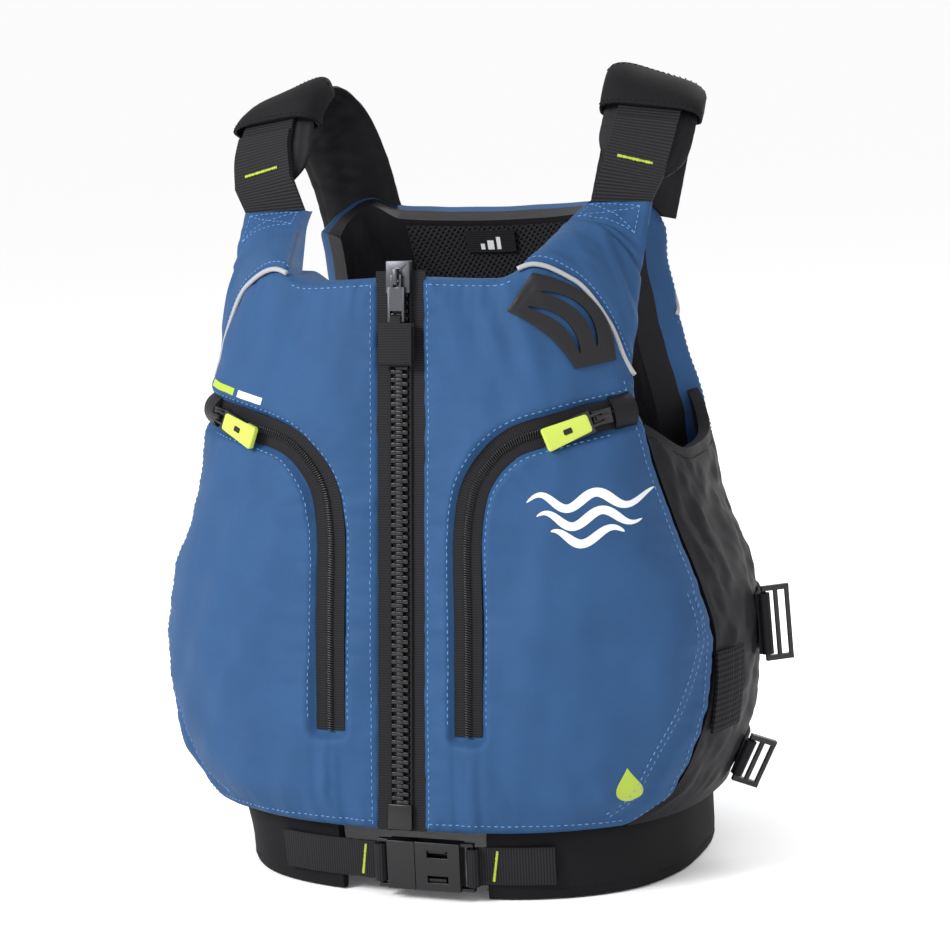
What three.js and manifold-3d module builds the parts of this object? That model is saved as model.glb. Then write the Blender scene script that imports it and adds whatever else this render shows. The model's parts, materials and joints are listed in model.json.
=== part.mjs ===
// A kayaker's front-zip buoyancy vest, standing on its waistband.
// Millimetres, +Z up, the chest faces -Y and the wearer's left is +X.
// Every piece of one side is made for the wearer's left and mirrored for the right.
import * as THREE from "three";
import Module from "manifold-3d";
import { mergeVertices } from "three/addons/utils/BufferGeometryUtils.js";

const wasm = await Module();
wasm.setup();

// ---------- driving dimensions ----------
const gap = 0.3; // clearance between touching pieces
const footprint_shift = 38.9; // brings the middle of the footprint to the origin
const side_line_y = 35; // where the torso is widest, front to back
const section_power = 2.5; // superellipse power of the torso's plan
const chest_lean = 0.113; // how far the straight front zip leans back per unit of height
const belly_y = -106; // front of the zip line at floor level
const hem_z = 45; // lower edge of the front panels
const neck_z = 388; // top edge of the front panels at the zip
const back_neck_z = 424; // top edge of the back panel at its middle
const shoulder_top_z = 495; // middle of the shoulder pad's thickness at its crest

const skin = 1.6; // woven shell cloth, with its coating and seam allowance
const lining = 1.2;
const foam_front = 27;
const foam_back = 29;
const foam_ease = 0.5; // the foam sits a little loose in its cover
const foam_soft = 2.5; // and its cut edges are rounded by this

const zip_gap_half = 14; // half the width of black tape that shows between the front panels
const tape_half = 19; // half the main zip's tape pair
const tape_thick = 1;
const tooth_pitch = 5;
const tooth_depth = 3.2;
const chain_half = 5.5; // half the width of the closed chain
const slider_length = 20;
const slider_half = 8;
const plate_thick = 1.4;

const waist_height = 54; // before its top is cut to the panels' lower edges
const waist_thick = 7;
const waist_opening_half = 52; // half the gap in the waistband that the belt buckle closes
const belt_width = 25;
const belt_thick = 1.6;

const strap_width = 40; // shoulder and upper side webbing
const low_strap_width = 25; // lower side webbing
const webbing = 1.7;
const pad_width = 60;
const pad_thick = 12;
const lock_bar = 2.6; // ladder-lock rail thickness
const lock_depth = 17; // ladder-lock length along its webbing
const rail = 3.4; // ladder-lock side rail
const lock_deg = 98; // where the ladder-locks sit round the torso
const loop_bore = 4.6; // inside of a webbing loop round a bar
const side_out = -1.5; // the side panels lie this far behind the front panels
const side_thick = 8;
const waist_set_back = 14;
const wide_share = 0.11; // how much wider the front half hangs on the wearer's right
const hem_ease = 2.2; // the waistband's top edge clears the panels' lower edges by up to this
const belt_z = 22;
const belt_end = 92; // where the belt webbing is sewn to the waistband
const socket_bar = 43; // the buckle's end bars, as distances from the middle
const plug_bar = 19;
const socket_end = 36;
const buckle_mouth = 6; // where the plug meets the socket
const buckle_high = 31;
const buckle_deep = 5; // half its thickness
const prong_length = 22;

const pocket_tape = 18;
const pocket_tape_thick = 0.8;
const coil_width = 5.5;
const coil_thick = 2;
const pouch_rise = 6;
const slider_lift = 1.4; // clearance over the coil, which curves away under the slider
const pull_half = 7;
const pull_length = 30;
const patch_corners = [[69, 364], [106, 329], [125, 334], [83, 387]]; // [x, z] of the lash patch
const patch_bow = 4;

// ---------- outline tables: [height, value] ----------
// A smooth line through the points that never overshoots them.
function profile(points) {
  const xs = points.map((p) => p[0]);
  const ys = points.map((p) => p[1]);
  const last = xs.length - 1;
  const slope = xs.slice(1).map((x, i) => (ys[i + 1] - ys[i]) / (x - xs[i]));
  const tangent = xs.map((_, i) => {
    if (i === 0) return slope[0];
    if (i === last) return slope[last - 1];
    const [a, b] = [slope[i - 1], slope[i]];
    return a * b <= 0 ? 0 : (2 * a * b) / (a + b);
  });
  return (value) => {
    const x = THREE.MathUtils.clamp(value, xs[0], xs[last]);
    let i = 0;
    while (i < last - 1 && x > xs[i + 1]) i += 1;
    const h = xs[i + 1] - xs[i];
    const t = (x - xs[i]) / h;
    const [t2, t3] = [t * t, t * t * t];
    return (
      (2 * t3 - 3 * t2 + 1) * ys[i] +
      (t3 - 2 * t2 + t) * h * tangent[i] +
      (3 * t2 - 2 * t3) * ys[i + 1] +
      (t3 - t2) * h * tangent[i + 1]
    );
  };
}

const half_width = profile([[0, 158], [45, 165], [93, 184], [140, 189], [190, 184],
  [229, 169], [302, 156], [337, 149], [366, 143], [400, 140], [460, 140]]);
const back_y = profile([[0, 180], [45, 181], [100, 182], [200, 178], [280, 165],
  [340, 150], [400, 132], [440, 119]]);
// How far round the side each front panel reaches, as its distance from the zip.
const wing_x = profile([[45, 134], [62, 158], [93, 173], [123, 180], [152, 182],
  [190, 175], [229, 160], [302, 141], [337, 135], [400, 135]]);
const back_edge_deg = profile([[40, 50], [200, 52], [290, 60], [340, 57], [400, 60], [440, 63]]);
// Top edge of the front panel, from the zip (0) round to the armhole (1): collar, then the piping's arc.
const panel_top = profile([[0, neck_z], [0.4, neck_z - 2], [0.57, neck_z + 5], [0.76, neck_z - 6],
  [0.91, neck_z - 34], [1, neck_z - 66]]);
// Top edge of the back panel, from its middle (0) to the armhole (1).
const back_top = profile([[0, back_neck_z], [0.4, back_neck_z + 2], [0.56, back_neck_z + 10],
  [0.8, back_neck_z], [1, back_neck_z - 14]]);

const front_y = (z) => belly_y + chest_lean * z;
const rad = THREE.MathUtils.degToRad;
const lerp = THREE.MathUtils.lerp;
const vec = (x, y, z) => new THREE.Vector3(x, y, z);

// ---------- the torso surface ----------
// deg runs from 0 at the zip round the wearer's left side to 180 at the spine.
function torsoPoint(deg, z) {
  const a = half_width(z);
  const depth = deg < 90 ? side_line_y - front_y(z) : back_y(z) - side_line_y;
  const power = 2 / section_power;
  const x = a * Math.sin(rad(deg)) ** power;
  const y = side_line_y - Math.sign(90 - deg) * depth * Math.abs(Math.cos(rad(deg))) ** power;
  return vec(x, y, z);
}

function torsoNormal(deg, z) {
  const d = THREE.MathUtils.clamp(deg, 4, 176); // the plan is flat at its front and back middles
  const round = torsoPoint(d + 1, z).sub(torsoPoint(d - 1, z));
  const rise = torsoPoint(d, z + 2).sub(torsoPoint(d, z - 2));
  const n = round.cross(rise).normalize();
  const fade = THREE.MathUtils.smoothstep(Math.min(deg, 180 - deg), 0, 8);
  n.x *= fade;
  return n.normalize();
}

const onTorso = (deg, z, out = 0) => torsoPoint(deg, z).addScaledVector(torsoNormal(deg, z), out);
const degAt = (x, z) => {
  const share = THREE.MathUtils.clamp(x / half_width(z), 0, 1) ** (section_power / 2);
  return THREE.MathUtils.radToDeg(Math.asin(share));
};

// ---------- solids ----------
function solidOf(geometry) {
  const bare = geometry.index ? geometry.toNonIndexed() : geometry.clone();
  bare.deleteAttribute("normal");
  bare.deleteAttribute("uv");
  const merged = mergeVertices(bare, 1e-3);
  return new wasm.Manifold(
    new wasm.Mesh({
      numProp: 3,
      vertProperties: merged.attributes.position.array,
      triVerts: new Uint32Array(merged.index.array),
    }),
  );
}

function geometryOf(solid) {
  const mesh = solid.getMesh();
  const geometry = new THREE.BufferGeometry();
  const positions = new Float32Array(mesh.numVert * 3);
  for (let i = 0; i < mesh.numVert; i += 1) {
    positions.set(mesh.vertProperties.subarray(i * mesh.numProp, i * mesh.numProp + 3), i * 3);
  }
  geometry.setAttribute("position", new THREE.BufferAttribute(positions, 3));
  geometry.setIndex(new THREE.BufferAttribute(mesh.triVerts, 1));
  return geometry;
}

const join = (...parts) => geometryOf(parts.map(solidOf).reduce((a, b) => a.add(b)));
// Cutting keeps the largest body, so that no crumbs are left beside a seam.
function cut(body, ...tools) {
  const rest = tools.map(solidOf).reduce((a, b) => a.subtract(b), solidOf(body));
  return geometryOf(rest.decompose().sort((a, b) => b.volume() - a.volume())[0]);
}

function facingOut(positions, faces) {
  const at = (i) => vec(...positions.slice(i * 3, i * 3 + 3));
  let volume = 0;
  for (let i = 0; i < faces.length; i += 3) {
    volume += at(faces[i]).dot(at(faces[i + 1]).cross(at(faces[i + 2])));
  }
  if (volume < 0) {
    for (let i = 0; i < faces.length; i += 3) [faces[i], faces[i + 1]] = [faces[i + 1], faces[i]];
  }
  const geometry = new THREE.BufferGeometry();
  geometry.setAttribute("position", new THREE.Float32BufferAttribute(positions, 3));
  geometry.setIndex(faces);
  return geometry;
}

// A closed slab between two sheets, each a function of u and v from 0 to 1.
function slab(outer, inner, nu, nv) {
  const positions = [];
  const faces = [];
  const row = nv + 1;
  for (const sheet of [outer, inner]) {
    for (let i = 0; i <= nu; i += 1) {
      for (let j = 0; j <= nv; j += 1) positions.push(...sheet(i / nu, j / nv).toArray());
    }
  }
  const back = (nu + 1) * row;
  const quad = (a, b, c, d) => faces.push(a, b, c, a, c, d);
  const id = (i, j) => i * row + j;
  for (let i = 0; i < nu; i += 1) {
    for (let j = 0; j < nv; j += 1) {
      quad(id(i, j), id(i + 1, j), id(i + 1, j + 1), id(i, j + 1));
      quad(back + id(i, j), back + id(i, j + 1), back + id(i + 1, j + 1), back + id(i + 1, j));
    }
  }
  const rim = [];
  for (let i = 0; i < nu; i += 1) rim.push(id(i, 0));
  for (let j = 0; j < nv; j += 1) rim.push(id(nu, j));
  for (let i = nu; i > 0; i -= 1) rim.push(id(i, nv));
  for (let j = nv; j > 0; j -= 1) rim.push(id(0, j));
  rim.forEach((a, k) => {
    const b = rim[(k + 1) % rim.length];
    quad(b, a, back + a, back + b);
  });
  return facingOut(positions, faces);
}

function mirrored(geometry) {
  const copy = geometry.index ? geometry.toNonIndexed() : geometry.clone();
  const p = copy.attributes.position.array;
  for (let i = 0; i < p.length; i += 9) {
    for (let k = 0; k < 9; k += 3) p[i + k] *= -1;
    for (let k = 0; k < 3; k += 1) [p[i + 3 + k], p[i + 6 + k]] = [p[i + 6 + k], p[i + 3 + k]];
  }
  const bare = new THREE.BufferGeometry();
  bare.setAttribute("position", new THREE.BufferAttribute(p, 3));
  return bare;
}

function plate(outline, thick, holes = []) {
  const shape = new THREE.Shape(outline.map(([x, y]) => new THREE.Vector2(x, y)));
  shape.holes = holes.map((h) => new THREE.Path(h.map(([x, y]) => new THREE.Vector2(x, y))));
  return new THREE.ExtrudeGeometry(shape, { depth: thick, bevelEnabled: false, curveSegments: 6 });
}

const box = (x0, x1, y0, y1, z0, z1) =>
  new THREE.BoxGeometry(x1 - x0, y1 - y0, z1 - z0).translate((x0 + x1) / 2, (y0 + y1) / 2, (z0 + z1) / 2);
// Moves a solid made at the origin so that its x, y and z run along the given directions from a point.
const seated = (geometry, at, x, y, z) =>
  geometry.applyMatrix4(new THREE.Matrix4().makeBasis(x, y, z).setPosition(at));

// ---------- materials ----------
const finish = (color, roughness, metalness = 0) =>
  new THREE.MeshStandardMaterial({ color, roughness, metalness });
const blue_cloth = finish(0x3d69a3, 0.62);
const black_cloth = finish(0x232327, 0.7);
const black_webbing = finish(0x2a2a2b, 0.8);
const black_plastic = finish(0x19191c, 0.42);
const neoprene = finish(0x2e2e31, 0.85);
const foam = finish(0xd9d7cf, 0.9);
const lime_rubber = finish(0xd9ee62, 0.5);
const piping_silver = finish(0xd5d6d8, 0.35);
const grey_metal = finish(0x77777a, 0.35, 0.9);
const mesh_knit = finish(0x1b1b1d, 0.9);

const vest = new THREE.Group();
// The front hangs wider on the wearer's right; nothing moves at the zip, near the floor or behind the arms.
function hangWide(geometry) {
  const p = geometry.attributes.position;
  for (let i = 0; i < p.count; i += 1) {
    const rise = THREE.MathUtils.smoothstep(p.getZ(i), 10, 80);
    const fore = THREE.MathUtils.smoothstep(60 - p.getY(i), 0, 60);
    p.setX(i, p.getX(i) - wide_share * rise * fore * Math.max(-p.getX(i) - zip_gap_half, 0));
  }
  return geometry;
}
function add(name, geometry, material) {
  hangWide(geometry);
  const mesh = new THREE.Mesh(geometry, material);
  mesh.name = name;
  vest.add(mesh);
  return mesh;
}
function addPair(name, geometry, material) {
  add(`${name}_right`, mirrored(geometry), material);
  add(`${name}_left`, geometry, material);
}

// ---------- layered panels ----------
// A padded panel is layers of one net of points, so that the flats of each layer stay parallel.
// place(u, v, out) gives a point of the panel; trim is the share of u and v that a layer stops short by.
function layeredPanel(place, nu, nv) {
  const near = (share, n) => Math.min(Math.floor(share * n), n - 1);
  const point = (u, v, out) => {
    const [i, j] = [near(u, nu), near(v, nv)];
    const [fu, fv] = [u * nu - i, v * nv - j];
    const corner = (di, dj) => place((i + di) / nu, (j + dj) / nv, out);
    const low = corner(0, 0).lerp(corner(1, 0), fu);
    return low.lerp(corner(0, 1).lerp(corner(1, 1), fu), fv);
  };
  // A trimmed layer also has soft edges: it is thinner there by `soft` on each face.
  const layer = (out, thick, trimU = 0, trimV = 0, soft = 0) => {
    const hold = (share, trim) => THREE.MathUtils.clamp(share, trim, 1 - trim);
    const onEdge = (share) => share === 0 || share === 1;
    const sheet = (depth, inward) => (u, v) => {
      const eased = onEdge(u) || onEdge(v) ? depth + inward * soft : depth;
      return point(hold(u, trimU), hold(v, trimV), eased);
    };
    return slab(sheet(out, -1), sheet(out - thick, 1), nu, nv);
  };
  return { point, layer };
}
const stack = (foam_thick) => {
  const foam_out = -skin - foam_ease;
  return { foam_out, lining_out: foam_out - foam_thick - foam_ease };
};

// The lining turns out under the foam and closes the panel's lower edge.
function linedWithHem(panel, layers, nu, nv) {
  const from = -skin - gap;
  const to = layers.lining_out - lining / 2;
  const floor = (height) => (u, v) => panel.point(u, 0, lerp(from, to, v)).add(vec(0, 0, height));
  return join(panel.layer(layers.lining_out, lining), slab(floor(lining), floor(0), nu, 1));
}

// ---------- front panels: shell, foam and lining ----------
// u runs from the zip to the side, v from the hem to the top edge.
function frontPlace(u, v, out) {
  const z = lerp(hem_z, panel_top(u), v);
  return onTorso(degAt(lerp(zip_gap_half, wing_x(z), u), z), z, out);
}
const front = layeredPanel(frontPlace, 10, 9);
const front_stack = stack(foam_front);
const front_trim = [0.045, 0.025, foam_soft];
addPair("front_shell", front.layer(0, skin), blue_cloth);
addPair("front_foam", front.layer(front_stack.foam_out, foam_front, ...front_trim), foam);
addPair("front_lining", linedWithHem(front, front_stack, 10, 9), black_cloth);

// ---------- back panel ----------
// u runs right across the back, from the wearer's right armhole to the left one.
function backPlace(u, v, out) {
  const across = 2 * u - 1;
  const z = lerp(hem_z, back_top(Math.abs(across)), v);
  const deg = 180 - Math.abs(across) * back_edge_deg(z);
  const p = onTorso(deg, z, out);
  return across < 0 ? vec(-p.x, p.y, p.z) : p;
}
const back = layeredPanel(backPlace, 16, 9);
const back_stack = stack(foam_back);
const back_trim = [0.025, 0.02, foam_soft];
add("back_shell", back.layer(0, skin), blue_cloth);
add("back_foam", back.layer(back_stack.foam_out, foam_back, ...back_trim), foam);
add("back_lining", linedWithHem(back, back_stack, 16, 9), black_cloth);

// Blocks a hair larger than the padded panels, which the pieces sewn to them are cut by.
function blockOf(place, nu, nv, depth) {
  const grown = (out) => (u, v) => {
    const p = place(u, v, out);
    const edge = u === 0 || u === 1 ? p.clone().sub(place(lerp(u, 0.5, 0.04), v, out)) : vec(0, 0, 0);
    const rise = v === 1 ? gap : v === 0 ? -hem_ease : 0;
    return p.add(edge.normalize().multiplyScalar(gap)).add(vec(0, 0, rise));
  };
  return slab(grown(gap), grown(-depth - gap), nu, nv);
}
const front_depth = -front_stack.lining_out + lining;
const back_depth = -back_stack.lining_out + lining;
const front_block = blockOf(frontPlace, 10, 9, front_depth);
const back_block = blockOf(backPlace, 16, 9, back_depth);

// ---------- inside of the back: spacer mesh and size label ----------
const mesh_half = 3 / 16; // share of the back's width on each side of its middle
const mesh_low = 3 / 9;
const mesh_thick = 1.4;
const mesh_out = back_stack.lining_out - lining - gap;
const inside = (u0, u1, v0, v1, out, thick, nu, nv) => {
  const sheet = (depth) => (u, v) => back.point(lerp(u0, u1, u), lerp(v0, v1, v), depth);
  return slab(sheet(out), sheet(out - thick), nu, nv);
};
add("back_mesh", inside(0.5 - mesh_half, 0.5 + mesh_half, mesh_low, 1, mesh_out, mesh_thick, 6, 6),
  mesh_knit);
add("size_label", inside(0.475, 0.525, 0.955, 0.998, mesh_out - mesh_thick - gap, 0.6, 1, 1), black_cloth);

// ---------- yokes: from the reflective piping up to the webbing tab ----------
const yoke_from = 0.5; // where the piping leaves the neck edge, along the panel's top
const tab_z = 426;
const tab_inner = vec(93, 21, tab_z);
const tab_outer = vec(137, 21, tab_z);
const yoke_thick_low = 13;
const tab_thick = 4;
const yoke_crown = 4;
function yokePlace(u, v, thick_share) {
  const low = frontPlace(lerp(yoke_from, 1, u), 1, -yoke_thick_low * thick_share).add(vec(0, 0, 1));
  const high = tab_inner.clone().lerp(tab_outer, u).add(vec(0, tab_thick * thick_share, 0));
  const crown = yoke_crown * Math.sin(Math.PI * u) * Math.sin(Math.PI * v ** 0.7);
  return low.lerp(high, v).add(vec(0, -crown, crown / 3));
}
const yoke = slab((u, v) => yokePlace(u, v, 0), (u, v) => yokePlace(u, v, 1), 5, 6);
addPair("yoke", cut(yoke, front_block), blue_cloth);
const yokeGrown = (share, side) => (u, v) =>
  yokePlace(u, v, share).add(vec(0, side * gap, v === 0 ? -gap : gap));
const yoke_grown = slab(yokeGrown(0, -1), yokeGrown(1, 1), 5, 6);

// ---------- shoulder pads, their webbing and keeper bands ----------
// The pad leaves the back panel's top, goes over the shoulder and ends on the chest.
const pad_line = new THREE.CatmullRomCurve3([
  [98, 104, -0.08], [106, 103, 0.37], [116, 94, 0.8], [125, 75, 1], [130, 54, 0.89], [129, 40, 0.59],
  [124, 32, 0.27],
].map(([x, y, share]) => vec(x, y, lerp(back_neck_z, shoulder_top_z, share))), false, "centripetal");
const pad_slant = rad(20); // the pad's width slopes down towards the arm
const pad_across = vec(Math.cos(pad_slant), 0, -Math.sin(pad_slant));
function padFrame(v) {
  const tangent = pad_line.getTangentAt(v);
  const out = tangent.clone().cross(pad_across).normalize(); // away from the shoulder
  const across = out.clone().cross(tangent).normalize();
  return { at: pad_line.getPointAt(v), out, across, tangent };
}
const pad_end_from = 0.86; // the chest end is rounded from here on
function padHalf(v) {
  const share = THREE.MathUtils.clamp((v - pad_end_from) / (1 - pad_end_from), 0, 1);
  return (pad_width / 2) * Math.sqrt(1 - 0.72 * share * share);
}
// grow widens the pad's section by its sides, top and underside.
function padBlock(v0, v1, grow, nu, nv) {
  const [side, top, under] = grow;
  const sheet = (face, more) => (u, v) => {
    const f = padFrame(lerp(v0, v1, v));
    const edge = 2 * u - 1;
    const half_thick = (pad_thick / 2) * (1 - 0.55 * edge ** 4) + more;
    return f.at.clone()
      .addScaledVector(f.across, edge * (padHalf(lerp(v0, v1, v)) + side))
      .addScaledVector(f.out, face * half_thick);
  };
  return slab(sheet(1, top), sheet(-1, under), nu, nv);
}
const pad_steps = 14;
addPair("shoulder_pad", cut(padBlock(0, 1, [0, 0, 0], 4, pad_steps), back_block), black_cloth);

// Webbing lies on the pad from under the keeper down to the tab; it is doubled where it folds back.
const web_from = 7 / pad_steps;
const web_lift = gap + 0.5;
const web_rows = 8; // the pad's own steps from web_from down, and one more to the tab
function webPlace(u, v, out) {
  const x = (u - 0.5) * strap_width;
  if (v < 1) {
    const f = padFrame(lerp(web_from, 1, v * web_rows / (web_rows - 1)));
    return f.at.clone().addScaledVector(f.across, x).addScaledVector(f.out, pad_thick / 2 + web_lift + out);
  }
  const tab_mid = tab_inner.clone().lerp(tab_outer, 0.5).add(vec(0, 0, 1));
  const f = padFrame(1);
  return tab_mid.addScaledVector(f.across, x).addScaledVector(f.out, out);
}
const web_thick = 2 * webbing;
const webSheet = (out) => (u, v) => webPlace(u, v, out);
const shoulder_webbing = slab(webSheet(web_thick), webSheet(0), 2, web_rows);
addPair("shoulder_webbing", cut(shoulder_webbing, yoke_grown), black_webbing);

const keeper_from = 8 / pad_steps;
const keeper_to = 10.6 / pad_steps;
const keeper_thick = 1.8;
const keeper_ease = [1.1, web_lift + web_thick + 1.5, 1.4];
const keeper_outside = keeper_ease.map((ease) => ease + keeper_thick);
addPair("keeper_band", cut(padBlock(keeper_from, keeper_to, keeper_outside, 4, 4),
  padBlock(7 / pad_steps, 12 / pad_steps, keeper_ease, 4, 5)), neoprene);

// ---------- reflective piping ----------
const piping_radius = 1.5;
const piping_points = [0, 0.2, 0.4, 0.6, 0.8, 1].map((s) =>
  frontPlace(lerp(yoke_from, 1, s), 1, piping_radius + 0.7).add(vec(0, 0, -0.6)));
function cordAlong(points, radius, sides, steps) {
  const ring = new THREE.Shape();
  ring.absarc(0, 0, radius, 0, 2 * Math.PI, false);
  return new THREE.ExtrudeGeometry(ring, {
    steps, curveSegments: sides / 2, bevelEnabled: false,
    extrudePath: new THREE.CatmullRomCurve3(points, false, "centripetal"),
  });
}
const piping = cordAlong(piping_points, piping_radius, 6, 12);
addPair("piping", cut(piping, front_block, yoke_grown), piping_silver);

// ---------- pockets ----------
const onFront = (x, z, out) => onTorso(degAt(x, z), z, out);

// A strip lying on the front, along a line of [x, z] points.
function frontStrip(points, width, out, thick, steps) {
  const line = new THREE.CatmullRomCurve3(points.map(([x, z]) => vec(x, 0, z)), false, "centripetal");
  const sheet = (lift) => (u, v) => {
    const at = line.getPointAt(v);
    const along = line.getTangentAt(v);
    const off = (u - 0.5) * width;
    return onFront(at.x - along.z * off, at.z + along.x * off, lift);
  };
  return slab(sheet(out + thick), sheet(out), 2, steps);
}
const pocket_path = [[45, 106], [45, 170], [45, 236], [51, 262], [70, 284], [100, 294], [135, 301.5]];
const pocket_tape_out = 0.6;
const coil_out = pocket_tape_out + pocket_tape_thick + 0.4;
const pocket_zip_tape = frontStrip(pocket_path, pocket_tape, pocket_tape_out, pocket_tape_thick, 18);
addPair("pocket_zip_tape", pocket_zip_tape, black_cloth);
addPair("pocket_zip_coil", frontStrip(pocket_path, coil_width, coil_out, coil_thick, 18), black_plastic);

const pouch_top = profile([[55, 232], [61, 256], [76, 272], [104, 281.5], [150, 291]]);
const pouch_low = 49;
function pouchPlace(u, v, out) {
  const z_top = pouch_top(lerp(55, 131, u));
  const z = lerp(pouch_low, z_top, v);
  return onFront(lerp(55, wing_x(z) - 12, u), z, out);
}
const pouch_bulge = (u, v) => (Math.sin(Math.PI * u) * Math.sin(Math.PI * v)) ** 0.6;
const pouchSheet = (out) => (u, v) => pouchPlace(u, v, out + pouch_rise * pouch_bulge(u, v));
addPair("pocket_pouch", slab(pouchSheet(2.4), pouchSheet(1), 7, 7), blue_cloth);

// Pocket slider: a plate over the coil, two walls beside it and a bridge that holds the pull.
const slider_at = onFront(121, 298.6, coil_out + coil_thick + slider_lift);
const slider_next = onFront(101, 294.3, coil_out + coil_thick + slider_lift);
const slide_along = slider_next.clone().sub(slider_at).normalize();
const slide_side = onTorso(degAt(121, 298.6), 298.6, 10).sub(onTorso(degAt(121, 298.6), 298.6, 0))
  .cross(slide_along).normalize();
const slide_out = slide_along.clone().cross(slide_side).normalize();
const bridge_low = plate_thick + 3.1;
const wall = coil_width / 2 + 0.6;
const pocket_slider = join(
  box(-6, 6, -wall - 1.3, wall + 1.3, 0, plate_thick),
  box(-6, 6, wall, wall + 1.3, -coil_thick, plate_thick / 2),
  box(-6, 6, -wall - 1.3, -wall, -coil_thick, plate_thick / 2),
  box(-4.5, -2.7, -1.2, 1.2, plate_thick / 2, bridge_low + 1),
  box(2.7, 4.5, -1.2, 1.2, plate_thick / 2, bridge_low + 1),
  box(-4.5, 4.5, -1.2, 1.2, bridge_low, bridge_low + 1.3),
);
addPair("pocket_slider", seated(pocket_slider, slider_at, slide_along, slide_side, slide_out), grey_metal);

// A pull hangs on its slider by a round pin under the bridge, between two arms.
const pin_height = plate_thick + 1.8;
function pull(pin_radius, arm_reach, half, length, thick, bridge_half) {
  const pin = new THREE.CylinderGeometry(pin_radius, pin_radius, 2 * bridge_half + 3, 10);
  const arm = (y0, y1) => box(-pin_radius, arm_reach, y0, y1, -pin_radius, pin_radius);
  return join(pin, arm(bridge_half + 0.5, bridge_half + 2), arm(-bridge_half - 2, -bridge_half - 0.5),
    box(arm_reach - 1, arm_reach + length, -half, half, -thick / 2, thick / 2));
}
const pull_pin = slider_at.clone().addScaledVector(slide_out, pin_height);
const pull_tip = onFront(84, 283, 10.5);
const pull_along = pull_tip.sub(pull_pin).normalize();
const pull_out = pull_along.clone().cross(slide_side).normalize();
const pull_side = pull_out.clone().cross(pull_along).normalize();
const pocket_pull = pull(0.8, 8.5, pull_half, pull_length, 2.2, 2);
addPair("pocket_pull", seated(pocket_pull, pull_pin, pull_along, pull_side, pull_out), lime_rubber);

// ---------- main zip, in its own plane: x across, y up the zip, z away from the chest ----------
const zip_up = vec(0, chest_lean, 1).normalize();
const zip_out = vec(0, -1, chest_lean).normalize();
const zip_origin = vec(0, belly_y, 0);
const onZip = (geometry) => seated(geometry, zip_origin, vec(1, 0, 0), zip_up, zip_out);
const zip_low = hem_z + 1;
const zip_high = neck_z + 6;
const chain_low = 63;
const tape_front = -1;
for (const [side, name] of [[1, "left"], [-1, "right"]]) {
  const [inner, outer] = [0.25, zip_gap_half - gap].map((x) => x * side);
  add(`zip_tape_${name}`, onZip(box(Math.min(inner, outer), Math.max(inner, outer), zip_low, zip_high,
    tape_front - tape_thick, tape_front)), black_cloth);
}
// Moulded teeth: each side is a comb whose teeth reach past the middle between the other side's.
const teeth = Math.floor((zip_high - 4 - chain_low) / tooth_pitch);
const tooth_high = 2;
const spine = 2.9;
const tooth_reach = 2.2;
function comb(phase) {
  const outline = [[chain_half, chain_low], [chain_half, chain_low + teeth * tooth_pitch]];
  for (let i = teeth - 1; i >= 0; i -= 1) {
    const low = chain_low + i * tooth_pitch + phase;
    const high = low + tooth_high;
    outline.push([spine, high], [-tooth_reach, high], [-tooth_reach, low], [spine, low]);
  }
  outline[1][1] = outline[2][1];
  outline[0][1] = outline[outline.length - 1][1];
  return plate(outline.reverse(), tooth_depth).translate(0, 0, tape_front + gap);
}
add("zip_teeth_left", onZip(comb(0)), black_plastic);
add("zip_teeth_right", onZip(mirrored(comb(tooth_pitch / 2))), black_plastic);
add("zip_box", onZip(box(-slider_half, slider_half, zip_low + 1, chain_low - gap, tape_front + gap, 2.9)),
  black_plastic);

const slider_low = zip_high - 14;
const chain_top = tape_front + gap + tooth_depth + 0.4;
const zip_bridge = chain_top + plate_thick + 3.4;
const slider_high = slider_low + slider_length;
const wall_low = tape_front + gap;
const slider_wall = box(chain_half + 0.5, slider_half, slider_low, slider_high, wall_low, chain_top + 0.5);
const post = (y) => box(-1.5, 1.5, slider_low + y, slider_low + y + 2, chain_top + 0.5, zip_bridge + 1);
const zip_slider = join(
  box(-slider_half, slider_half, slider_low, slider_high, chain_top, chain_top + plate_thick),
  slider_wall, mirrored(slider_wall), post(5), post(13),
  box(-1.5, 1.5, slider_low + 5, slider_low + 15, zip_bridge, zip_bridge + 1.6),
);
add("zip_slider", onZip(zip_slider), grey_metal);

// Metal tab: arms and pin at the top, a window at the bottom for the cloth loop.
const tab_pin = vec(0, slider_low + 10, chain_top + plate_thick + 1.7);
const metal_tab = cut(pull(1.1, 7.5, 5.5, 20.3, 2, 1.5), box(21, 25.5, -4, 4, -3, 3));
add("zip_pull_tab",
  onZip(seated(metal_tab, tab_pin, vec(0, -1, 0), vec(1, 0, 0), vec(0, 0, 1))), grey_metal);
// The loop is a folded cloth band round the tab's last bar.
function roundedRing(length, high, thick, wide) {
  const shape = new THREE.Shape();
  const ring = (path, grow) => {
    path.absarc(0, 0, high / 2 + grow, Math.PI / 2, 1.5 * Math.PI, false);
    path.absarc(length, 0, high / 2 + grow, -Math.PI / 2, Math.PI / 2, false);
  };
  ring(shape, thick);
  const hole = new THREE.Path();
  ring(hole, 0);
  shape.holes = [hole];
  return new THREE.ExtrudeGeometry(shape, { depth: wide, bevelEnabled: false, curveSegments: 5 })
    .translate(0, 0, -wide / 2);
}
const loop_shoulder = box(-5, 2.2, -4, 4, 3.6, 12); // it narrows where it goes through the tab
const loop_shoulders = [loop_shoulder, loop_shoulder.clone().translate(0, 0, -15.6)];
const cloth_loop = cut(roundedRing(26, 3.2, 1.1, 22), ...loop_shoulders);
const loop_at = tab_pin.clone().add(vec(0, -26.3, 0));
add("zip_pull_loop",
  onZip(seated(cloth_loop, loop_at, vec(0, -1, 0), vec(0, 0, 1), vec(-1, 0, 0))), black_cloth);

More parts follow.
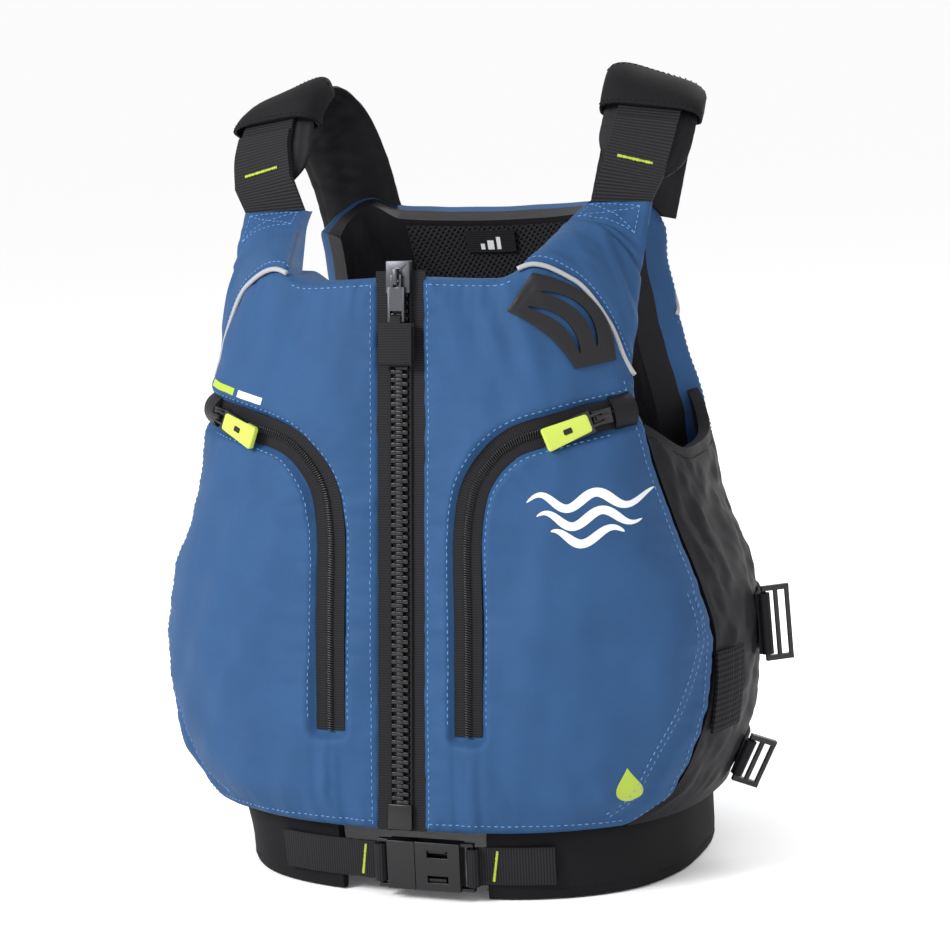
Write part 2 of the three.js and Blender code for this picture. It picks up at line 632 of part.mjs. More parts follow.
// ---------- rubber lash patch on the wearer's left chest ----------
const patch_at = patch_corners.map(([x, z]) => vec(x, z, 0));
const patchPlace = (u, v, out) => {
  const [a, b, c, d] = patch_at.map((p) => p.clone());
  const p = a.lerp(b, u).lerp(d.lerp(c, u), v);
  const bow = patch_bow * 4 * u * (1 - u);
  return onFront(p.x + bow, p.y + bow, out);
};
const patchPiece = (u0, u1, v0, v1, top, low, nu, nv) => slab(
  (u, v) => patchPlace(lerp(u0, u1, u), lerp(v0, v1, v), top),
  (u, v) => patchPlace(lerp(u0, u1, u), lerp(v0, v1, v), low), nu, nv);
add("lash_patch", cut(patchPiece(0, 1, 0, 1, 3, 0.8, 6, 2),
  patchPiece(0.16, 0.84, 0.24, 0.36, 5, -3, 6, 1),
  patchPiece(0.16, 0.84, 0.62, 0.74, 5, -3, 6, 1)), black_plastic);

// ---------- side panels, their elastic, webbing and ladder-locks ----------
const side_top = profile([[0, 292], [0.35, 272], [0.65, 276], [1, 300]]);
function sidePlace(u, v, out) {
  const z = lerp(hem_z, side_top(u), v);
  const from = degAt(wing_x(z), z) - 1;
  return onTorso(lerp(from, 181 - back_edge_deg(z), u), z, out);
}
const sideSheet = (out) => (u, v) => sidePlace(u, v, side_out + out);
const side_panel = slab(sideSheet(0), sideSheet(-side_thick), 8, 9);
addPair("side_panel", cut(side_panel, front_block, back_block), black_cloth);

const side_seat = slab(sideSheet(gap), sideSheet(-12), 8, 9);
const sideStrip = (deg0, deg1, z0, z1, lift, thick, steps) => {
  const sheet = (out) => (u, v) => onTorso(lerp(deg0, deg1, u), lerp(z0, z1, v), side_out + lift + out);
  return slab(sheet(thick), sheet(0), steps, 2);
};
addPair("side_elastic", cut(sideStrip(74, 86, 97, 147, 0.1, 2.2, 4), side_seat, front_block), black_webbing);

// The webbing's end makes a loop round the ladder-lock's first bar.
function sideWebbing(deg_lock, deg_end, z, width) {
  const f = lockFrame(deg_lock, z);
  const loop = seated(roundedRing(0.1, loop_bore, webbing, width), f.at, f.along, f.out, f.down);
  const half = (width / 2) * Math.abs(f.down.z); // the side leans, so the webbing spans less height
  return join(sideStrip(deg_lock - 0.6, deg_end, z - half, z + half, 0.9, 1.7, 5), loop);
}
function lockFrame(deg, z) {
  const out = torsoNormal(deg, z);
  const along = out.clone().cross(vec(0, 0, -1)).normalize();
  const at = onTorso(deg, z, side_out + 2.2 + loop_bore / 2 + webbing / 2);
  return { at, out, along, down: along.clone().cross(out) };
}
// Two rails, three bars; it lies out from its first bar, which the webbing holds.
function ladderLock(deg, z, width) {
  const half = width / 2 + 1.2;
  const rails = [half, -half - rail].map((y) => box(-lock_bar / 2, lock_depth, y, y + rail, -1.6, 1.6));
  const bars = [0, 8, lock_depth - lock_bar / 2].map((x) =>
    box(x - lock_bar / 2, x + lock_bar / 2, -half - 0.5, half + 0.5, -1.3, 1.3));
  const f = lockFrame(deg, z);
  const lie = f.out.clone().multiplyScalar(0.9).addScaledVector(f.along, 0.45).normalize();
  return seated(join(...rails, ...bars), f.at, lie, f.down, lie.clone().cross(f.down).normalize());
}
for (const [name, z, width] of [["upper", 150, strap_width], ["lower", 62, low_strap_width]]) {
  addPair(`${name}_side_webbing`, sideWebbing(lock_deg, lock_deg + 18, z, width), black_webbing);
  addPair(`${name}_ladder_lock`, ladderLock(lock_deg, z, width), black_plastic);
}

// ---------- waistband, belt and buckle ----------
const waistPlace = (deg, z, out) => onTorso(deg, hem_z, out - waist_set_back).setZ(z);
const waist_open_deg = degAt(waist_opening_half, hem_z);
const waistSheet = (out) => (u, v) => {
  const turn = lerp(waist_open_deg, 360 - waist_open_deg, u);
  const p = waistPlace(turn > 180 ? 360 - turn : turn, lerp(0, waist_height, v), out);
  return turn > 180 ? p.setX(-p.x) : p;
};
const waistband = slab(waistSheet(0), waistSheet(-waist_thick), 44, 1);
add("waistband", cut(waistband, front_block, mirrored(front_block), back_block), neoprene);

// Belt webbing lies on the waistband, crosses its gap and makes a loop round the buckle's end bar.
const belt_y = belly_y + chest_lean * hem_z + waist_set_back; // front of the waistband at its middle
const bar_y = belt_y - gap - loop_bore / 2 - belt_thick;
function belt(bar_x) {
  const sheet = (lift) => (u, v) => {
    const x = lerp(bar_x, belt_end, u);
    const on_band = waistPlace(degAt(Math.max(x, waist_opening_half), hem_z), 0, 0).y;
    const y = lerp(belt_y, on_band, THREE.MathUtils.smoothstep(x, bar_x + 3, waist_opening_half));
    return vec(x, y - gap - lift, belt_z + (v - 0.5) * (belt_width - 1));
  };
  const loop = seated(roundedRing(0.1, loop_bore, belt_thick, belt_width - 1),
    vec(bar_x, bar_y, belt_z), vec(1, 0, 0), vec(0, -1, 0), vec(0, 0, -1));
  return cut(join(slab(sheet(belt_thick), sheet(-0.2), 10, 1), loop), waistband);
}
add("belt_webbing_left", belt(socket_bar), black_webbing);
add("belt_webbing_right", mirrored(belt(plug_bar)), black_webbing);

// Side-release buckle, made along x with its middle at the origin.
const buckle_half = buckle_high / 2;
function barEnd(x_body, x_bar) {
  const reach = x_bar + Math.sign(x_bar - x_body) * lock_bar / 2;
  const [low, high] = [Math.min(x_body, reach), Math.max(x_body, reach)];
  return [
    box(low, high, -2.2, 2.2, buckle_half - 2.2, buckle_half),
    box(low, high, -2.2, 2.2, -buckle_half, 2.2 - buckle_half),
    box(x_bar - lock_bar / 2, x_bar + lock_bar / 2, -1.3, 1.3, -buckle_half + 1, buckle_half - 1),
  ];
}
const socket_body = join(box(buckle_mouth, socket_end, -buckle_deep, buckle_deep, -buckle_half, buckle_half),
  ...barEnd(socket_end - 1, socket_bar));
const cavity = box(buckle_mouth - 1, socket_end - 4, 1.8 - buckle_deep, buckle_deep - 1.8, -11.6, 11.6);
const socket_windows = [-1, 1].map((s) =>
  box(buckle_mouth + 8, socket_end - 8, -9, 9, s * 8 - 2.2, s * 8 + 2.2));
const inBuckle = (geometry) => geometry.translate(0, bar_y, belt_z);
add("buckle_socket", inBuckle(cut(socket_body, cavity, ...socket_windows)), black_plastic);
const plug_low = -plug_bar + 6;
const prong = buckle_deep - 1.8 - 0.4;
add("buckle_plug", inBuckle(join(
  box(plug_low, buckle_mouth - gap, -buckle_deep, buckle_deep, -buckle_half, buckle_half),
  box(buckle_mouth - 1, buckle_mouth + prong_length, -prong, prong, -2.6, 2.6),
  box(buckle_mouth - 1, buckle_mouth + prong_length - 2, -prong, prong, 8, 11.2),
  box(buckle_mouth - 1, buckle_mouth + prong_length - 2, -prong, prong, -11.2, -8),
  ...barEnd(plug_low + 1, -plug_bar))), black_plastic);

vest.position.y = -footprint_shift;
export default vest;
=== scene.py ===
# %% [markdown]
# # A paddler's buoyancy vest
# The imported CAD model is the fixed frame. Around it this lesson sews the soft pieces: padded panels that a
# cloth solver relaxes between their seams, zips and stitches repeated by Geometry Nodes, and webbing.
# Lengths are in millimetres until `metres()` turns them into the row frame.

# %% Load the frame
import json
import math
import bmesh
import bpy
import numpy as np
from mathutils import Matrix, Vector
from mathutils.bvhtree import BVHTree

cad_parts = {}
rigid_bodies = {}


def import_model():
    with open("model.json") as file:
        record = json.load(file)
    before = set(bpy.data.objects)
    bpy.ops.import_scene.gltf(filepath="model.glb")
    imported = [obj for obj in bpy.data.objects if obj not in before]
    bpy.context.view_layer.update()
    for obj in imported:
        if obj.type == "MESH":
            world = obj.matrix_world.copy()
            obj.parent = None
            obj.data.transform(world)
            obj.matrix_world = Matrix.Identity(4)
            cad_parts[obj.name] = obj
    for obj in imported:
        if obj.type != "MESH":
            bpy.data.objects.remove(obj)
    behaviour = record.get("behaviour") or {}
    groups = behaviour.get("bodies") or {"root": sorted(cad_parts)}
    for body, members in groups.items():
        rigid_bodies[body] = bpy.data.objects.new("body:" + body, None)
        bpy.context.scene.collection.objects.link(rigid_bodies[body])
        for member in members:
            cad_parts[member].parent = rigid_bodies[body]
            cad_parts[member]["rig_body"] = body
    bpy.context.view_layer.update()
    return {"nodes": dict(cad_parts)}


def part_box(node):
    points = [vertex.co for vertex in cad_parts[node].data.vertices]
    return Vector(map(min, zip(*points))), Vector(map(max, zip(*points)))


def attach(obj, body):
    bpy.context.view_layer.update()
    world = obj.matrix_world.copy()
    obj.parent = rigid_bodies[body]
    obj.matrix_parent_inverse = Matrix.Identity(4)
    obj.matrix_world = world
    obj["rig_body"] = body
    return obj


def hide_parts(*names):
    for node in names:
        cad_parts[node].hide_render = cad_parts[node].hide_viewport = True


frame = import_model()
NODES = frame["nodes"]

# %% [markdown]
# ## The torso surface
# The CAD part is lofted on a superellipse whose width and depth follow smooth tables of height.
# The same tables give every cloth piece its place, so that cloth and CAD never drift apart.

# %% Tables of the torso
FOOTPRINT_SHIFT = 38.9
SIDE_LINE_Y, SECTION_POWER = 35.0, 2.5
CHEST_LEAN, BELLY_Y, HEM_Z, NECK_Z, BACK_NECK_Z = 0.113, -106.0, 45.0, 388.0, 424.0
ZIP_HALF = 14.0
SIDES = ((1, "left"), (-1, "right"))


def profile(points):
    """A monotone cubic through [place, value] points."""
    xs, ys = np.array(points, float).T
    slope = np.diff(ys) / np.diff(xs)
    tangent = np.concatenate([slope[:1], np.zeros(len(xs) - 2), slope[-1:]])
    for i in range(1, len(xs) - 1):
        a, b = slope[i - 1], slope[i]
        tangent[i] = 0 if a * b <= 0 else 2 * a * b / (a + b)

    def at(value):
        x = np.clip(value, xs[0], xs[-1])
        i = np.clip(np.searchsorted(xs, x, side="left") - 1, 0, len(xs) - 2)
        h = xs[i + 1] - xs[i]
        t = (x - xs[i]) / h
        return ((2 * t**3 - 3 * t**2 + 1) * ys[i] + (t**3 - 2 * t**2 + t) * h * tangent[i]
                + (3 * t**2 - 2 * t**3) * ys[i + 1] + (t**3 - t**2) * h * tangent[i + 1])
    return at


half_width = profile([[0, 158], [45, 165], [93, 184], [140, 189], [190, 184], [229, 169], [302, 156],
                      [337, 149], [366, 143], [400, 140], [460, 140]])
back_y = profile([[0, 180], [45, 181], [100, 182], [200, 178], [280, 165], [340, 150], [400, 132],
                  [440, 119]])
wing_x = profile([[45, 134], [62, 158], [93, 173], [123, 180], [152, 182], [190, 175], [229, 160],
                  [302, 141], [337, 135], [400, 135]])
back_edge_deg = profile([[40, 50], [200, 52], [290, 60], [340, 57], [400, 60], [440, 63]])
panel_top = profile([[0, NECK_Z], [0.4, NECK_Z - 2], [0.57, NECK_Z + 5], [0.76, NECK_Z - 6],
                     [0.91, NECK_Z - 34], [1, NECK_Z - 66]])
back_top = profile([[0, BACK_NECK_Z], [0.4, BACK_NECK_Z + 2], [0.56, BACK_NECK_Z + 10], [0.8, BACK_NECK_Z],
                    [1, BACK_NECK_Z - 14]])
side_top = profile([[0, 292], [0.35, 272], [0.65, 276], [1, 300]])


# %% Points on the torso
def lerp(a, b, t):
    return a + (b - a) * t


def smooth(t, low=0.0, high=1.0):
    s = np.clip((t - low) / (high - low), 0, 1)
    return s * s * (3 - 2 * s)


def torso(deg, z):
    deg, z = np.broadcast_arrays(np.asarray(deg, float), np.asarray(z, float))
    power = 2 / SECTION_POWER
    depth = np.where(deg < 90, SIDE_LINE_Y - (BELLY_Y + CHEST_LEAN * z), back_y(z) - SIDE_LINE_Y)
    cos = np.cos(np.radians(deg))
    x = half_width(z) * np.abs(np.sin(np.radians(deg))) ** power
    return np.stack([x, SIDE_LINE_Y - np.sign(90 - deg) * depth * np.abs(cos) ** power, z], -1)


def unit(v):
    return v / np.maximum(np.linalg.norm(v, axis=-1, keepdims=True), 1e-9)


def torso_normal(deg, z):
    deg = np.asarray(deg, float)
    d = np.clip(deg, 4, 176)
    n = unit(np.cross(torso(d + 1, z) - torso(d - 1, z), torso(d, z + 2.0) - torso(d, z - 2.0)))
    n[..., 0] *= smooth(np.minimum(deg, 180 - deg), 0, 8)
    return unit(n)


def on_torso(deg, z, out=0.0):
    return torso(deg, z) + torso_normal(deg, z) * np.asarray(out)[..., None]


def deg_at(x, z):
    return np.degrees(np.arcsin(np.clip(x / half_width(z), 0, 1) ** (SECTION_POWER / 2)))


def on_front(x, z, out=0.0):
    x, z, out = np.broadcast_arrays(*(np.asarray(a, float) for a in (x, z, out)))
    return on_torso(deg_at(x, z), z, out)


WIDE_SHARE = 0.11


def metres(points, side=1):
    """Points in mm to the row frame. The front hangs wider on the wearer's right, as in the CAD part."""
    p = np.array(points, float)
    p[..., 0] *= side
    rise, fore = smooth(p[..., 2], 10, 80), smooth(60 - p[..., 1], 0, 60)
    p[..., 0] -= WIDE_SHARE * rise * fore * np.maximum(-p[..., 0] - ZIP_HALF, 0)
    p[..., 1] -= FOOTPRINT_SHIFT
    return p / 1000


print("zip line at hem and neck, mm:", on_front(0, HEM_Z).round(1), on_front(0, NECK_Z).round(1))

# %% [markdown]
# ## Meshes and noise
# `slab` closes a net of points with a second net behind it. `ripple` is a sum of sines with fixed seeds:
# smooth, repeatable unevenness that keeps its wavelength in millimetres.


# %% Mesh helpers
def mesh_object(name, verts, faces, material, uvs=None):
    mesh = bpy.data.meshes.new(name)
    mesh.from_pydata(np.asarray(verts).tolist(), [], faces)
    if uvs is not None:
        layer = mesh.uv_layers.new(name="cloth")
        loops = np.empty(len(mesh.loops), int)
        mesh.loops.foreach_get("vertex_index", loops)
        layer.data.foreach_set("uv", np.asarray(uvs, float)[loops].ravel())
    mesh.polygons.foreach_set("use_smooth", [True] * len(mesh.polygons))
    obj = bpy.data.objects.new(name, mesh)
    bpy.context.scene.collection.objects.link(obj)
    mesh.materials.append(material)
    return obj


def net_faces(nu, nv, start=0, flip=False):
    i, j = np.meshgrid(np.arange(nu - 1), np.arange(nv - 1), indexing="ij")
    a = start + i * nv + j
    quads = np.stack([a, a + nv, a + nv + 1, a + 1], -1).reshape(-1, 4)
    return (quads[:, ::-1] if flip else quads).tolist()


def net_uv(net):
    """Distances in metres along the middle row and column of a net."""
    mid_u, mid_v = net[:, net.shape[1] // 2], net[net.shape[0] // 2]
    run = lambda line: np.concatenate([[0], np.cumsum(np.linalg.norm(np.diff(line, axis=0), axis=1))])
    u, v = np.meshgrid(run(mid_u), run(mid_v), indexing="ij")
    return np.stack([u, v], -1).reshape(-1, 2)


def recalculated(obj):
    bm = bmesh.new()
    bm.from_mesh(obj.data)
    bmesh.ops.recalc_face_normals(bm, faces=bm.faces)
    bm.to_mesh(obj.data)
    bm.free()
    return obj


def slab(name, outer, inner, material, body="vest"):
    """A closed sheet between two nets of the same size, in metres."""
    nu, nv = outer.shape[:2]
    n = nu * nv
    faces = net_faces(nu, nv) + net_faces(nu, nv, n, flip=True)
    rim = ([i * nv for i in range(nu - 1)] + [(nu - 1) * nv + j for j in range(nv - 1)]
           + [i * nv + nv - 1 for i in range(nu - 1, 0, -1)] + [j for j in range(nv - 1, 0, -1)])
    faces += [[b, a, n + a, n + b] for a, b in zip(rim, rim[1:] + rim[:1])]
    uv = net_uv(outer)
    obj = mesh_object(name, np.concatenate([outer.reshape(-1, 3), inner.reshape(-1, 3)]), faces, material,
                      np.concatenate([uv, uv]))
    recalculated(obj)
    obj.data.set_sharp_from_angle(angle=math.radians(55))
    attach(obj, body)
    return obj


def ripple(seed, wavelength, *coords):
    """Smooth noise of about -1 to 1 over coordinates in mm."""
    rng = np.random.default_rng(seed)
    total = 0
    for _ in range(7):
        k = rng.normal(size=len(coords))
        k *= rng.uniform(0.6, 1.5) / np.linalg.norm(k) * 2 * np.pi / wavelength
        total = total + np.sin(sum(c * w for c, w in zip(coords, k)) + rng.uniform(0, 6.28))
    return total / 3.2


def line_distance(x, z, line):
    """Distance from points to a polyline, with its sign and the length along it."""
    line = np.asarray(line, float)
    best = np.full(np.shape(x), 1e9)
    sign, along = np.ones_like(best), np.zeros_like(best)
    start = 0.0
    for (x0, z0), (x1, z1) in zip(line[:-1], line[1:]):
        dx, dz = x1 - x0, z1 - z0
        length = math.hypot(dx, dz)
        t = np.clip(((x - x0) * dx + (z - z0) * dz) / length**2, 0, 1)
        d = np.hypot(x - x0 - t * dx, z - z0 - t * dz)
        near = d < best
        best = np.where(near, d, best)
        sign = np.where(near, np.where((x - x0) * dz - (z - z0) * dx > 0, 1.0, -1.0), sign)
        along = np.where(near, start + t * length, along)
        start += length
    return best, sign, along


def curve_points(points, count):
    """Evenly spaced points on a centripetal Catmull-Rom curve."""
    p = np.asarray(points, float)
    ends = np.concatenate([[2 * p[0] - p[1]], p, [2 * p[-1] - p[-2]]])
    fine = []
    for a, b, c, d in zip(ends, ends[1:], ends[2:], ends[3:]):
        before, here, after = (math.sqrt(np.linalg.norm(q - p)) for p, q in ((a, b), (b, c), (c, d)))
        leave = ((b - a) / before - (c - a) / (before + here) + (c - b) / here) * here
        arrive = ((c - b) / here - (d - b) / (here + after) + (d - c) / after) * here
        t = np.linspace(0, 1, 24, endpoint=False)[:, None]
        fine.append((2 * t**3 - 3 * t**2 + 1) * b + (t**3 - 2 * t**2 + t) * leave
                    + (3 * t**2 - 2 * t**3) * c + (t**3 - t**2) * arrive)
    fine = np.concatenate(fine + [p[-1:]])
    run = np.concatenate([[0], np.cumsum(np.linalg.norm(np.diff(fine, axis=0), axis=1))])
    at = np.linspace(0, run[-1], count)
    return np.stack([np.interp(at, run, fine[:, k]) for k in range(p.shape[1])], -1)


print("mesh helpers ready")

# %% [markdown]
# ## Finishes
# Colours are sRGB hex through one linearising function. Pattern sizes are real: the cloth UVs hold metres,
# and a wave texture of scale `pi / 10 / pitch` repeats at the pitch of the weave or rib.


# %% Material helpers
def linear(hex_code):
    """An sRGB hex colour as linear red, green, blue and alpha."""
    channels = [int(hex_code[i:i + 2], 16) / 255 for i in (1, 3, 5)]
    return tuple(c / 12.92 if c <= 0.04045 else ((c + 0.055) / 1.055) ** 2.4 for c in channels) + (1,)


def add(tree, kind, where=(0, 0), **values):
    made = tree.nodes.new(kind)
    made.location = where
    for key, value in values.items():
        if hasattr(made, key):
            setattr(made, key, value)
        else:
            made.inputs[key.replace("_", " ")].default_value = value
    return made


def finish(name, color, roughness, **shader_values):
    """A new material with its principled shader set; returns material, tree and shader."""
    material = bpy.data.materials.new(name)
    material.use_nodes = True
    tree = material.node_tree
    shader = tree.nodes["Principled BSDF"]
    shader.inputs["Base Color"].default_value = linear(color)
    shader.inputs["Roughness"].default_value = roughness
    for key, value in shader_values.items():
        shader.inputs[key.replace("_", " ")].default_value = value
    return material, tree, shader


def pattern_value(tree, coords, pitch, direction):
    """A stripe of the given pitch in metres across one direction of the cloth."""
    wave = add(tree, "ShaderNodeTexWave", (-700, 0), wave_type="BANDS", bands_direction=direction,
               wave_profile="SIN")
    wave.inputs["Scale"].default_value = math.pi / 10 / pitch
    tree.links.new(coords, wave.inputs["Vector"])
    return wave.outputs["Fac"]


def noise_value(tree, coords, size, detail=2.0):
    noise = add(tree, "ShaderNodeTexNoise", (-700, -200), Detail=detail)
    noise.inputs["Scale"].default_value = 1 / size
    tree.links.new(coords, noise.inputs["Vector"])
    return noise.outputs["Fac"]


def math_node(tree, operation, a, b):
    made = add(tree, "ShaderNodeMath", (-450, 0), operation=operation)
    for socket, value in zip(made.inputs, (a, b)):
        if isinstance(value, (int, float)):
            socket.default_value = value
        else:
            tree.links.new(value, socket)
    return made.outputs[0]


def bump(tree, shader, height, distance, strength=1.0):
    made = add(tree, "ShaderNodeBump", (-200, -300), Strength=strength, Distance=distance)
    tree.links.new(height, made.inputs["Height"])
    tree.links.new(made.outputs["Normal"], shader.inputs["Normal"])


def tint(tree, shader, value, low, high):
    """Base colour between two hex colours by a 0 to 1 value."""
    mix = add(tree, "ShaderNodeMix", (-250, 200), data_type="RGBA")
    mix.inputs[6].default_value, mix.inputs[7].default_value = linear(low), linear(high)
    tree.links.new(value, mix.inputs[0])
    tree.links.new(mix.outputs[2], shader.inputs["Base Color"])


def coords(tree, kind):
    return add(tree, "ShaderNodeTexCoord", (-950, 0)).outputs[kind]


def woven(name, dark, light, roughness, pitch=0.0007, depth=0.00012, sheen=0.15, specular=0.35):
    """Plain-weave cloth: two crossed stripes for the threads, slow noise for the dye and creases."""
    material, tree, shader = finish(name, light, roughness, Sheen_Weight=sheen, Specular_IOR_Level=specular,
                                    Sheen_Roughness=0.4)
    uv, place = coords(tree, "UV"), coords(tree, "Object")
    warp, weft = pattern_value(tree, uv, pitch, "X"), pattern_value(tree, uv, pitch, "Y")
    threads = math_node(tree, "MULTIPLY", warp, weft)
    slow = noise_value(tree, place, 0.03, 3.0)
    tint(tree, shader, math_node(tree, "MULTIPLY_ADD", slow, 0.8), dark, light)
    creases = noise_value(tree, place, 0.009, 3.0)
    height = math_node(tree, "ADD", math_node(tree, "MULTIPLY", threads, 0.22), creases)
    bump(tree, shader, height, depth * 6, 0.5)
    return material


def ribbed(name, color, highlight, pitch, depth, direction="Y", roughness=0.7):
    """Woven tape with ribs of the given pitch across it."""
    material, tree, shader = finish(name, color, roughness, Specular_IOR_Level=0.15)
    uv = coords(tree, "UV")
    ribs = pattern_value(tree, uv, pitch, direction)
    fine = pattern_value(tree, uv, pitch / 2.2, "X" if direction == "Y" else "Y")
    ribs, fine = math_node(tree, "MULTIPLY", ribs, 0.75), math_node(tree, "MULTIPLY", fine, 0.25)
    both = math_node(tree, "ADD", ribs, fine)
    tint(tree, shader, both, color, highlight)
    bump(tree, shader, both, depth, 0.8)
    return material


def moulded(name, color, roughness, grain=0.0004, depth=0.00006, **values):
    """Moulded plastic or rubber with a fine grain."""
    material, tree, shader = finish(name, color, roughness, **values)
    bump(tree, shader, noise_value(tree, coords(tree, "Object"), grain, 2.0), depth, 0.4)
    return material


def knitted(name, hole_shade, yarn, pitch_x=0.0030, pitch_y=0.0036):
    """Spacer knit: rows of small holes tinted with the darker colour as painted shade, drawn a little
    coarser than real so that they show.
    """
    material, tree, shader = finish(name, yarn, 0.75, Specular_IOR_Level=0.15)
    uv = coords(tree, "UV")
    lean = add(tree, "ShaderNodeMapping", (-850, 0))
    lean.inputs["Rotation"].default_value = (0, 0, math.radians(38))
    tree.links.new(uv, lean.inputs["Vector"])
    a = pattern_value(tree, lean.outputs[0], pitch_x, "X")
    b = pattern_value(tree, lean.outputs[0], pitch_y, "Y")
    cell = math_node(tree, "MULTIPLY", a, b)
    edge = math_node(tree, "GREATER_THAN", cell, 0.45)
    # the holes get the darker first colour: painted shade in the openings of the knit
    tint(tree, shader, math_node(tree, "SUBTRACT", 1.0, edge), hole_shade, yarn)
    bump(tree, shader, math_node(tree, "SUBTRACT", 1.0, cell), 0.0012, 0.9)
    return material


# %% The vest's finishes
BLUE = woven("blue_nylon", "#1a3453", "#27476d", 0.6, sheen=0.0, specular=0.13)
BLACK = woven("black_nylon", "#0b0b0d", "#17171a", 0.5, sheen=0.0, specular=0.12)
TAPE = ribbed("zip_tape_weave", "#0d0d0f", "#1e1e21", 0.0016, 0.0002)
WEBBING = ribbed("webbing_ribs", "#0d0d0f", "#252528", 0.0021, 0.0005)
ELASTIC = ribbed("elastic_ribs", "#0e0e10", "#242427", 0.0036, 0.0008)
NEOPRENE = moulded("neoprene_face", "#121214", 0.75, 0.0007, 0.0002, Specular_IOR_Level=0.12)
PLASTIC = moulded("acetal_black", "#0a0a0c", 0.3, Specular_IOR_Level=0.4)
RUBBER = moulded("moulded_rubber_black", "#141417", 0.55, Specular_IOR_Level=0.25)
LIME = moulded("lime_rubber", "#a8b845", 0.45)
FOAM = moulded("closed_cell_foam", "#2c2d30", 0.85, 0.0009, 0.0002)
METAL = moulded("dull_cast_metal", "#4a4b4f", 0.34, 0.0006, 0.00005, Metallic=0.85)
PIPING = moulded("reflective_tape", "#8f9194", 0.35, 0.0003, 0.00004, Specular_IOR_Level=0.6)
WEBBING_SIDE = ribbed("webbing_ribs_round", "#0d0d0f", "#252528", 0.0021, 0.0005, "X")
# the spacer knit's first colour is the painted shade of its holes
MESH = knitted("spacer_knit", "#040405", "#202024")
LIME_PRINT = moulded("lime_print", "#93a72c", 0.5, 0.0003, 0.00002)
THREAD_BLUE = moulded("blue_thread", "#4a76ab", 0.7, 0.0002, 0.00003)
THREAD_LIME = moulded("lime_thread", "#a5b432", 0.6, 0.0002, 0.00003)
THREAD_BLACK = moulded("black_thread", "#141416", 0.8, 0.0002, 0.00003, Specular_IOR_Level=0.1)
WHITE = moulded("white_print", "#c9cbcd", 0.5, 0.0003, 0.00002)
print("finishes:", len(bpy.data.materials))

# %% [markdown]
# ## Repeats by Geometry Nodes
# Teeth, stitches and thread tacks are one unit mesh repeated along lines. The lines carry an `up` vector.
# The tree resamples them at the pitch, stands each unit on `up`, turns it along the line and makes it real.


# %% The repeating tree
def repeat_tree():
    tree = bpy.data.node_groups.new("repeat_along_lines", "GeometryNodeTree")
    for name, kind in (("Lines", "Geometry"), ("Unit", "Object"), ("Pitch", "Float"),
                       ("Unevenness", "Float"), ("Seed", "Int"), ("Finish", "Material")):
        tree.interface.new_socket(name, in_out="INPUT", socket_type="NodeSocket" + kind)
    tree.interface.new_socket("Pieces", in_out="OUTPUT", socket_type="NodeSocketGeometry")
    link = tree.links.new
    inputs = add(tree, "NodeGroupInput", (-900, 0))
    curve = add(tree, "GeometryNodeMeshToCurve", (-700, 0))
    link(inputs.outputs["Lines"], curve.inputs[0])
    even = add(tree, "GeometryNodeResampleCurve", (-500, 0), mode="LENGTH")
    link(curve.outputs[0], even.inputs["Curve"])
    link(inputs.outputs["Pitch"], even.inputs["Length"])
    up = add(tree, "GeometryNodeInputNamedAttribute", (-700, -250), data_type="FLOAT_VECTOR")
    up.inputs["Name"].default_value = "up"
    tangent = add(tree, "GeometryNodeInputTangent", (-700, -400))
    stand = add(tree, "FunctionNodeAlignEulerToVector", (-450, -250), axis="Z")
    link(up.outputs["Attribute"], stand.inputs["Vector"])
    turn = add(tree, "FunctionNodeAlignEulerToVector", (-250, -300), axis="X", pivot_axis="Z")
    link(stand.outputs[0], turn.inputs["Rotation"])
    link(tangent.outputs[0], turn.inputs["Vector"])
    size = add(tree, "FunctionNodeRandomValue", (-250, -500), data_type="FLOAT")
    less = add(tree, "ShaderNodeMath", (-450, -500), operation="SUBTRACT")
    less.inputs[0].default_value = 1.0
    link(inputs.outputs["Unevenness"], less.inputs[1])
    link(less.outputs[0], size.inputs[2])
    size.inputs[3].default_value = 1.0
    link(inputs.outputs["Seed"], size.inputs["Seed"])
    unit_info = add(tree, "GeometryNodeObjectInfo", (-500, 200))
    link(inputs.outputs["Unit"], unit_info.inputs["Object"])
    place = add(tree, "GeometryNodeInstanceOnPoints", (-50, 0))
    link(even.outputs[0], place.inputs["Points"])
    link(unit_info.outputs["Geometry"], place.inputs["Instance"])
    link(turn.outputs[0], place.inputs["Rotation"])
    link(size.outputs[1], place.inputs["Scale"])
    real = add(tree, "GeometryNodeRealizeInstances", (150, 0))
    link(place.outputs[0], real.inputs[0])
    dress = add(tree, "GeometryNodeSetMaterial", (330, 0))
    link(real.outputs[0], dress.inputs["Geometry"])
    link(inputs.outputs["Finish"], dress.inputs["Material"])
    end = add(tree, "NodeGroupOutput", (520, 0))
    link(dress.outputs[0], end.inputs[0])
    return tree


REPEAT = repeat_tree()


